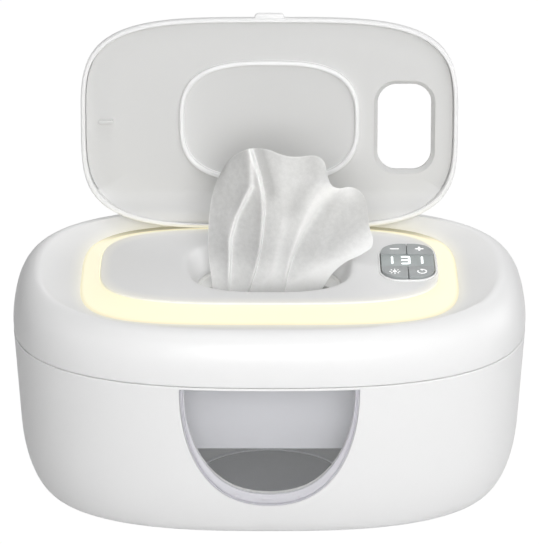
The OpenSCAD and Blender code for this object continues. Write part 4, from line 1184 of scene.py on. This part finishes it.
mouth = centred_block("mouth", PANEL_X, CUTOUT_Y, CUTOUT_W + 3.8, CUTOUT_D + 3.8, LINER_Z - 0.02, LINER_Z + 2.1, CUTOUT_R + 1.9)
edit(mouth)
pick(mouth, lambda c: abs(c.z - (LINER_Z + 2.1)) < 0.01, "FACE")
bpy.ops.transform.resize(value=(CUTOUT_W / (CUTOUT_W + 3.8), CUTOUT_D / (CUTOUT_D + 3.8), 1),
                         center_override=(PANEL_X * MM, CUTOUT_Y * MM, 0))
leave_edit()
cut(liner, mouth)
for side in (-1, 1):
    cut(liner, lay_bar("ear_room", side * EAR_X - EAR_L / 2 - 0.3, side * EAR_X + EAR_L / 2 + 0.3,
                       HINGE_Y, HINGE_Z, EAR_R + 0.35))
    cut(liner, centred_block("arm_room", side * EAR_X, HINGE_Y - 6.7, EAR_L + 0.6, 13.4, RIM_Z - 2, LINER_Z - 0.1, 0.5))
cut(liner, lay_bar("bore", -ROLL_X - 2, ROLL_X + 2, HINGE_Y, HINGE_Z, 1.05))
swing_open(liner)
smooth(liner, 32)
give(liner, "lid", abs_liner_greyed_for_shade, ["lid_liner"])

# %% Raised rib of the lid
RIB_A, RIB_B, RIB_N, RIB_T = 42.9, 29.3, 2.9, 2.0
rib = loft("lid_rib", [
    level(RIB_A + 0.3, RIB_B + 0.3, RIB_N, LINER_Z), level(RIB_A, RIB_B, RIB_N, LINER_Z - 0.4),
    level(RIB_A, RIB_B, RIB_N, DECK_Z + 0.8), level(RIB_A - 0.5, RIB_B - 0.5, RIB_N, DECK_Z + 0.35),
    level(RIB_A - RIB_T + 0.5, RIB_B - RIB_T + 0.5, RIB_N, DECK_Z + 0.35),
    level(RIB_A - RIB_T, RIB_B - RIB_T, RIB_N, DECK_Z + 0.8), level(RIB_A - RIB_T, RIB_B - RIB_T, RIB_N, LINER_Z - 0.4),
    level(RIB_A - RIB_T - 0.3, RIB_B - RIB_T - 0.3, RIB_N, LINER_Z)], joined=True)
swing_open(rib)
smooth(rib, 40)
give(rib, "lid", abs_rib, ["lid_seal"])

# %% [markdown]
# ## The wipe
#
# The wipe comes up through the slot and opens like a leaf, with a tall lobe in the middle and a
# lower one on the right. It starts as a plane divided into a fine grid. The grid is stretched
# between four edge curves, and then long pleats push it forward: each rises slowly on its left
# and falls sharply on its right, as a pulled sheet does. The narrow bright creases and the shade
# between them are also painted into the cloth's tone, as painted highlights and painted shade.

# %% Edges and pleats of the wipe
# Places across the front and upwards, in millimetres, as seen straight from the front.
WIPE_EDGES = {
    "foot": [(-24.5, 92), (-10, 92), (6, 92), (21, 92)],
    "left": [(-24.5, 92), (-26.5, 97.1), (-27.2, 102.5), (-28.3, 112.3), (-28.7, 121.2), (-28.5, 129.0),
             (-27.4, 142.0), (-24.9, 152.2), (-22.1, 159.9)],
    "head": [(-22.1, 159.9), (-17.9, 166.0), (-13.7, 169.0), (-9.0, 170.6), (-3.5, 170.7), (0.2, 169.8), (4.4, 167.8),
             (8.6, 166.6), (14.2, 166.4), (19.7, 167.0), (23.0, 166.2), (25.3, 163.4), (26.3, 158.9), (27.3, 154.6),
             (29.2, 151.2), (32.2, 150.2), (36.1, 150.9), (39.9, 150.2), (43.2, 147.3), (45.1, 143.0)],
    "right": [(21, 92), (24.4, 97.1), (27.2, 102.4), (30.0, 106.6), (35.6, 111.8), (43.6, 116.3), (47.8, 119.9),
              (48.3, 123.3), (46.7, 129.5), (45.8, 136.8), (45.1, 143.0)]}
# Each pleat: its crease, how deep it is, how far it rises on its left, how sharply it falls on
# its right at the foot and at the head, and how strong the painted highlight along its crease is.
PLEATS = [
    ([(-11.5, 92), (-10.2, 97.1), (-6.8, 109.2), (-4.9, 118.6), (-4.0, 126.4), (-3.3, 136.8), (-3.7, 147.1),
      (-5.4, 155.8), (-8.1, 165.0), (-10.4, 172)], 3.4, 5.0, 1.0, 1.9, 0.8),
    ([(-19.6, 92), (-19.3, 98.7), (-19.0, 112.3), (-18.8, 123.8), (-16.2, 134.2), (-12.9, 142.0), (-9.4, 150.2)],
     3.0, 4.0, 1.1, 2.4, 0.8),
    ([(6.0, 92), (6.4, 97.1), (7.6, 105.5), (9.7, 115.5), (12.2, 123.8), (14.8, 131.6), (18.0, 140.4), (22.6, 148.6),
      (27.5, 154.3)], 3.6, 9.0, 0.9, 8.5, 0.8),
    ([(15.0, 92), (17.0, 100.0), (20.0, 111.0), (23.3, 121.2), (26.4, 133.2), (30.6, 142.0), (35.2, 150.0)],
     1.0, 7.0, 4.0, 6.0, 0.08),
    ([(-4.5, 92), (-3.0, 98.0), (0.5, 108.0), (3.0, 120.0), (5.5, 134.0)], 1.0, 4.5, 3.0, 4.5, 0.1)]
WIPE_COLUMNS, WIPE_ROWS = 230, 150
WIPE_T = 0.3
TILT = math.tan(CAMERA_TILT)

edge_curves = {name: soft_curve(points, 400) for name, points in WIPE_EDGES.items()}


def edge_at(name, share):
    curve = edge_curves[name]
    marks = np.linspace(0, 1, len(curve))
    return np.c_[np.interp(share, marks, curve[:, 0]), np.interp(share, marks, curve[:, 1])]


def wipe_shape(s, v):
    """Places of the sheet, s across and v up, and the painted light and shade of the cloth at each."""
    s1, v1 = s[:, None], v[:, None]
    corners = {(a, b): edge_at("head" if b else "foot", np.array([a])) for a in (0, 1) for b in (0, 1)}
    flat = ((1 - v1) * edge_at("foot", s) + v1 * edge_at("head", s) + (1 - s1) * edge_at("left", v)
            + s1 * edge_at("right", v) - (1 - s1) * (1 - v1) * corners[0, 0] - s1 * (1 - v1) * corners[1, 0]
            - (1 - s1) * v1 * corners[0, 1] - s1 * v1 * corners[1, 1])
    x, z = flat[:, 0], flat[:, 1]
    forward = np.zeros_like(x)
    # tone is painted light and shade, dark at 0 and light at 1; each pleat adds a painted highlight along its crease.
    tone = np.full_like(x, 0.13)
    sides = []
    for crease, depth, gentle, sharp_foot, sharp_head, white in PLEATS:
        crease = np.array(crease)
        run = np.gradient(crease[:, 0], crease[:, 1])
        where = np.interp(z, crease[:, 1], crease[:, 0])
        away = (x - where) / np.sqrt(1 + np.interp(z, crease[:, 1], run) ** 2)
        rise = np.interp(z, [92, crease[-1, 1]], [0, 1])
        sharp = sharp_foot + (sharp_head - sharp_foot) * rise ** 2
        reach = step(z, 90, 112) * (1 - step(z, crease[-1, 1] - 3, crease[-1, 1] + 3) * (crease[-1, 1] < 165))
        ridge = np.where(away < 0, np.exp(np.minimum(away, 0) / gentle), 1 - step(away, 0, sharp))
        forward += depth * (0.35 + 0.65 * reach) * ridge
        tone += white * (0.4 + 0.6 * reach) * np.exp(-((away - 0.45 * sharp) / (0.62 * sharp)) ** 2)
        sides.append(away)
    # Painted patches: lighter between creases and in two spots, darker beside two creases, lighter low down against the
    # dish's shade, and a bright rim line.
    tone += 0.34 * step(sides[0], 1.0, 9.0) * (1 - step(sides[2], -3.0, 3.0))
    tone -= 0.4 * step(z, 141, 150) * np.exp(-((sides[0] - 4.8) / 3.0) ** 2)
    tone -= 0.26 * step(z, 132, 140) * np.exp(-((sides[2] + 5.5) / 3.6) ** 2)
    tone += 0.1 * step(sides[2], 2, 6)
    tone += 0.34 * np.exp(-((x - 37) / 4.5) ** 2 - ((z - 149) / 5.0) ** 2)
    tone += 0.36 * np.exp(-((x + 17.6) / 2.2) ** 2 - ((z - 127) / 9) ** 2)
    tone += 0.34 * step(z, 140, 150) * np.exp(-((sides[0] + 0.8) / 2.0) ** 2)
    tone += 0.4 * (1 - step(z, 102, 120)) + 0.6 * (1 - step(z, 94, 106))
    below = ((x - 12) * 28 - (z - 97) * 34) / 44
    tone += 0.75 * step(below, -9, 5)
    rim = np.minimum.reduce([s, 1 - s, 1 - v])
    tone += 0.25 * (1 - step(rim, 0.002, 0.01))
    lean = 1.5 + 5.5 * v - 9.0 * step(s, 0.55, 1.0) * v * (1 - 0.4 * v) + 8.0 * (1 - step(s, 0, 0.42)) * v * (0.4 + 0.6 * v)
    sway = 1.8 * v * np.sin(2.3 * math.pi * s + 0.6) + 0.5 * v * np.sin(6 * math.pi * s + 3 * v)
    y = lean + sway - forward
    return np.c_[x, y, z - y * TILT * v], np.clip(tone, 0, 1)


# %% Wipe
bpy.ops.object.select_all(action="DESELECT")
bpy.ops.mesh.primitive_grid_add(x_subdivisions=WIPE_COLUMNS, y_subdivisions=WIPE_ROWS, size=1)
wipe_sheet = bpy.context.object
wipe_sheet.name = wipe_sheet.data.name = "wipe_sheet"
grid = np.array([vertex.co[:2] for vertex in wipe_sheet.data.vertices]) + 0.5
places, tones = wipe_shape(grid[:, 0], grid[:, 1])
wipe_sheet.data.vertices.foreach_set("co", (places * MM).ravel())
crease_paint = wipe_sheet.data.attributes.new("painted_crease_shading", "FLOAT", "POINT")
crease_paint.data.foreach_set("value", tones)
add_modifier(wipe_sheet, "SOLIDIFY", thickness=WIPE_T * MM, offset=0)
outward(wipe_sheet)
smooth(wipe_sheet, 80)
give(wipe_sheet, "top", spunlace, ["wipe"])
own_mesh(wipe_sheet)

# %% [markdown]
# ## The stack of wipes
#
# Under the deck a stack of folded wipes lies in the basket. It is seen only when the top is
# tipped back. Each folded wipe is a thin rounded slab with a soft edge, a little shifted.

# %% Stack
stack_low, stack_high = (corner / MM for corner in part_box("wipe_stack"))
SHEETS = 16
pitch = (stack_high.z - stack_low.z) / SHEETS
slabs = []
for k in range(SHEETS):
    shift = 0.35 * math.sin(k * 2.4)
    slab = rounded_block("slab", stack_low.x + 0.5 + shift, stack_high.x - 0.5 + shift, stack_low.y + 0.5 - shift,
                         stack_high.y - 0.5 - shift, stack_low.z + k * pitch + 0.05, stack_low.z + (k + 1) * pitch - 0.02,
                         all_corners(7), segments=5)
    soften(slab, pitch * 0.4, segments=3)
    slabs.append(slab)
stack = join(slabs[0], *slabs[1:])
stack.name = stack.data.name = "folded_wipes"
smooth(stack, 50)
give(stack, "base", folded_spunlace, ["wipe_stack"])

# %% [markdown]
# ## Floor and light
#
# The photograph is a catalogue picture on pure white. The floor and the world show as white to
# the camera and in reflections, while large soft lamps light the object at a plain level.

# %% Floor
bpy.ops.object.select_all(action="DESELECT")
bpy.ops.mesh.primitive_plane_add(size=8, location=(0, 0, 0))
floor = bpy.context.object
floor.name = "floor"
floor_paint, floor_shader = new_material("Matt pale paper", "E4E4E4", 0.9)
floor.data.materials.append(floor_paint)


def white_when_seen(tree, shader_output, surface, share, polished_share, strength=1.0):
    """Mixes a plain white into what the camera, clear plastic and polished faces see of the studio."""
    rays = tree.nodes.new("ShaderNodeLightPath")
    seen = None
    for kind, part in (("Is Camera Ray", share), ("Is Transmission Ray", share), ("Is Glossy Ray", polished_share)):
        scaled = tree.nodes.new("ShaderNodeMath")
        scaled.operation = "MULTIPLY"
        scaled.inputs[1].default_value = part
        tree.links.new(rays.outputs[kind], scaled.inputs[0])
        if seen is None:
            seen = scaled.outputs["Value"]
            continue
        either = tree.nodes.new("ShaderNodeMath")
        either.operation = "MAXIMUM"
        tree.links.new(seen, either.inputs[0])
        tree.links.new(scaled.outputs["Value"], either.inputs[1])
        seen = either.outputs["Value"]
    white = tree.nodes.new("ShaderNodeEmission")
    white.inputs["Strength"].default_value = strength
    mix = tree.nodes.new("ShaderNodeMixShader")
    tree.links.new(seen, mix.inputs["Fac"])
    tree.links.new(shader_output, mix.inputs[1])
    tree.links.new(white.outputs["Emission"], mix.inputs[2])
    tree.links.new(mix.outputs["Shader"], surface)


FLOOR_WHITE = 0.94
floor_tree = floor_paint.node_tree
white_when_seen(floor_tree, floor_shader.outputs["BSDF"], floor_tree.nodes["Material Output"].inputs["Surface"], FLOOR_WHITE,
                0.4, strength=1.05)

# %% World and lamps
world = bpy.data.worlds.new("studio")
bpy.context.scene.world = world
world.use_nodes = True
background = world.node_tree.nodes["Background"]
background.inputs["Color"].default_value = (1, 1, 1, 1)
background.inputs["Strength"].default_value = 0.05
white_when_seen(world.node_tree, background.outputs["Background"], world.node_tree.nodes["World Output"].inputs["Surface"], 1.0, 1.0)


def softbox(name, place, aim, size, power):
    """A large square lamp that looks at a point."""
    lamp_data = bpy.data.lights.new(name, "AREA")
    lamp_data.shape = "SQUARE"
    lamp_data.size = size
    lamp_data.energy = power
    lamp = bpy.data.objects.new(name, lamp_data)
    bpy.context.collection.objects.link(lamp)
    lamp.location = place
    lamp.visible_camera = False
    lamp.rotation_euler = (Vector(aim) - Vector(place)).to_track_quat("-Z", "Y").to_euler()


softbox("key softbox", (0.55, -1.25, 1.15), (0, 0, 0.1), 1.8, 8.5)
softbox("side softbox", (1.5, 0.1, 0.5), (0, 0, 0.08), 0.9, 4.9)
softbox("front softbox", (0.04, -0.74, 0.42), (0, 0, 0.05), 0.5, 3.2)
softbox("rear softbox", (0.2, 1.2, 1.2), (0, 0, 0.1), 1.0, 4.4)
softbox("top softbox", (0.0, -0.1, 1.5), (0, 0, 0.1), 1.0, 5.3)
bpy.context.scene.view_settings.view_transform = "Standard"
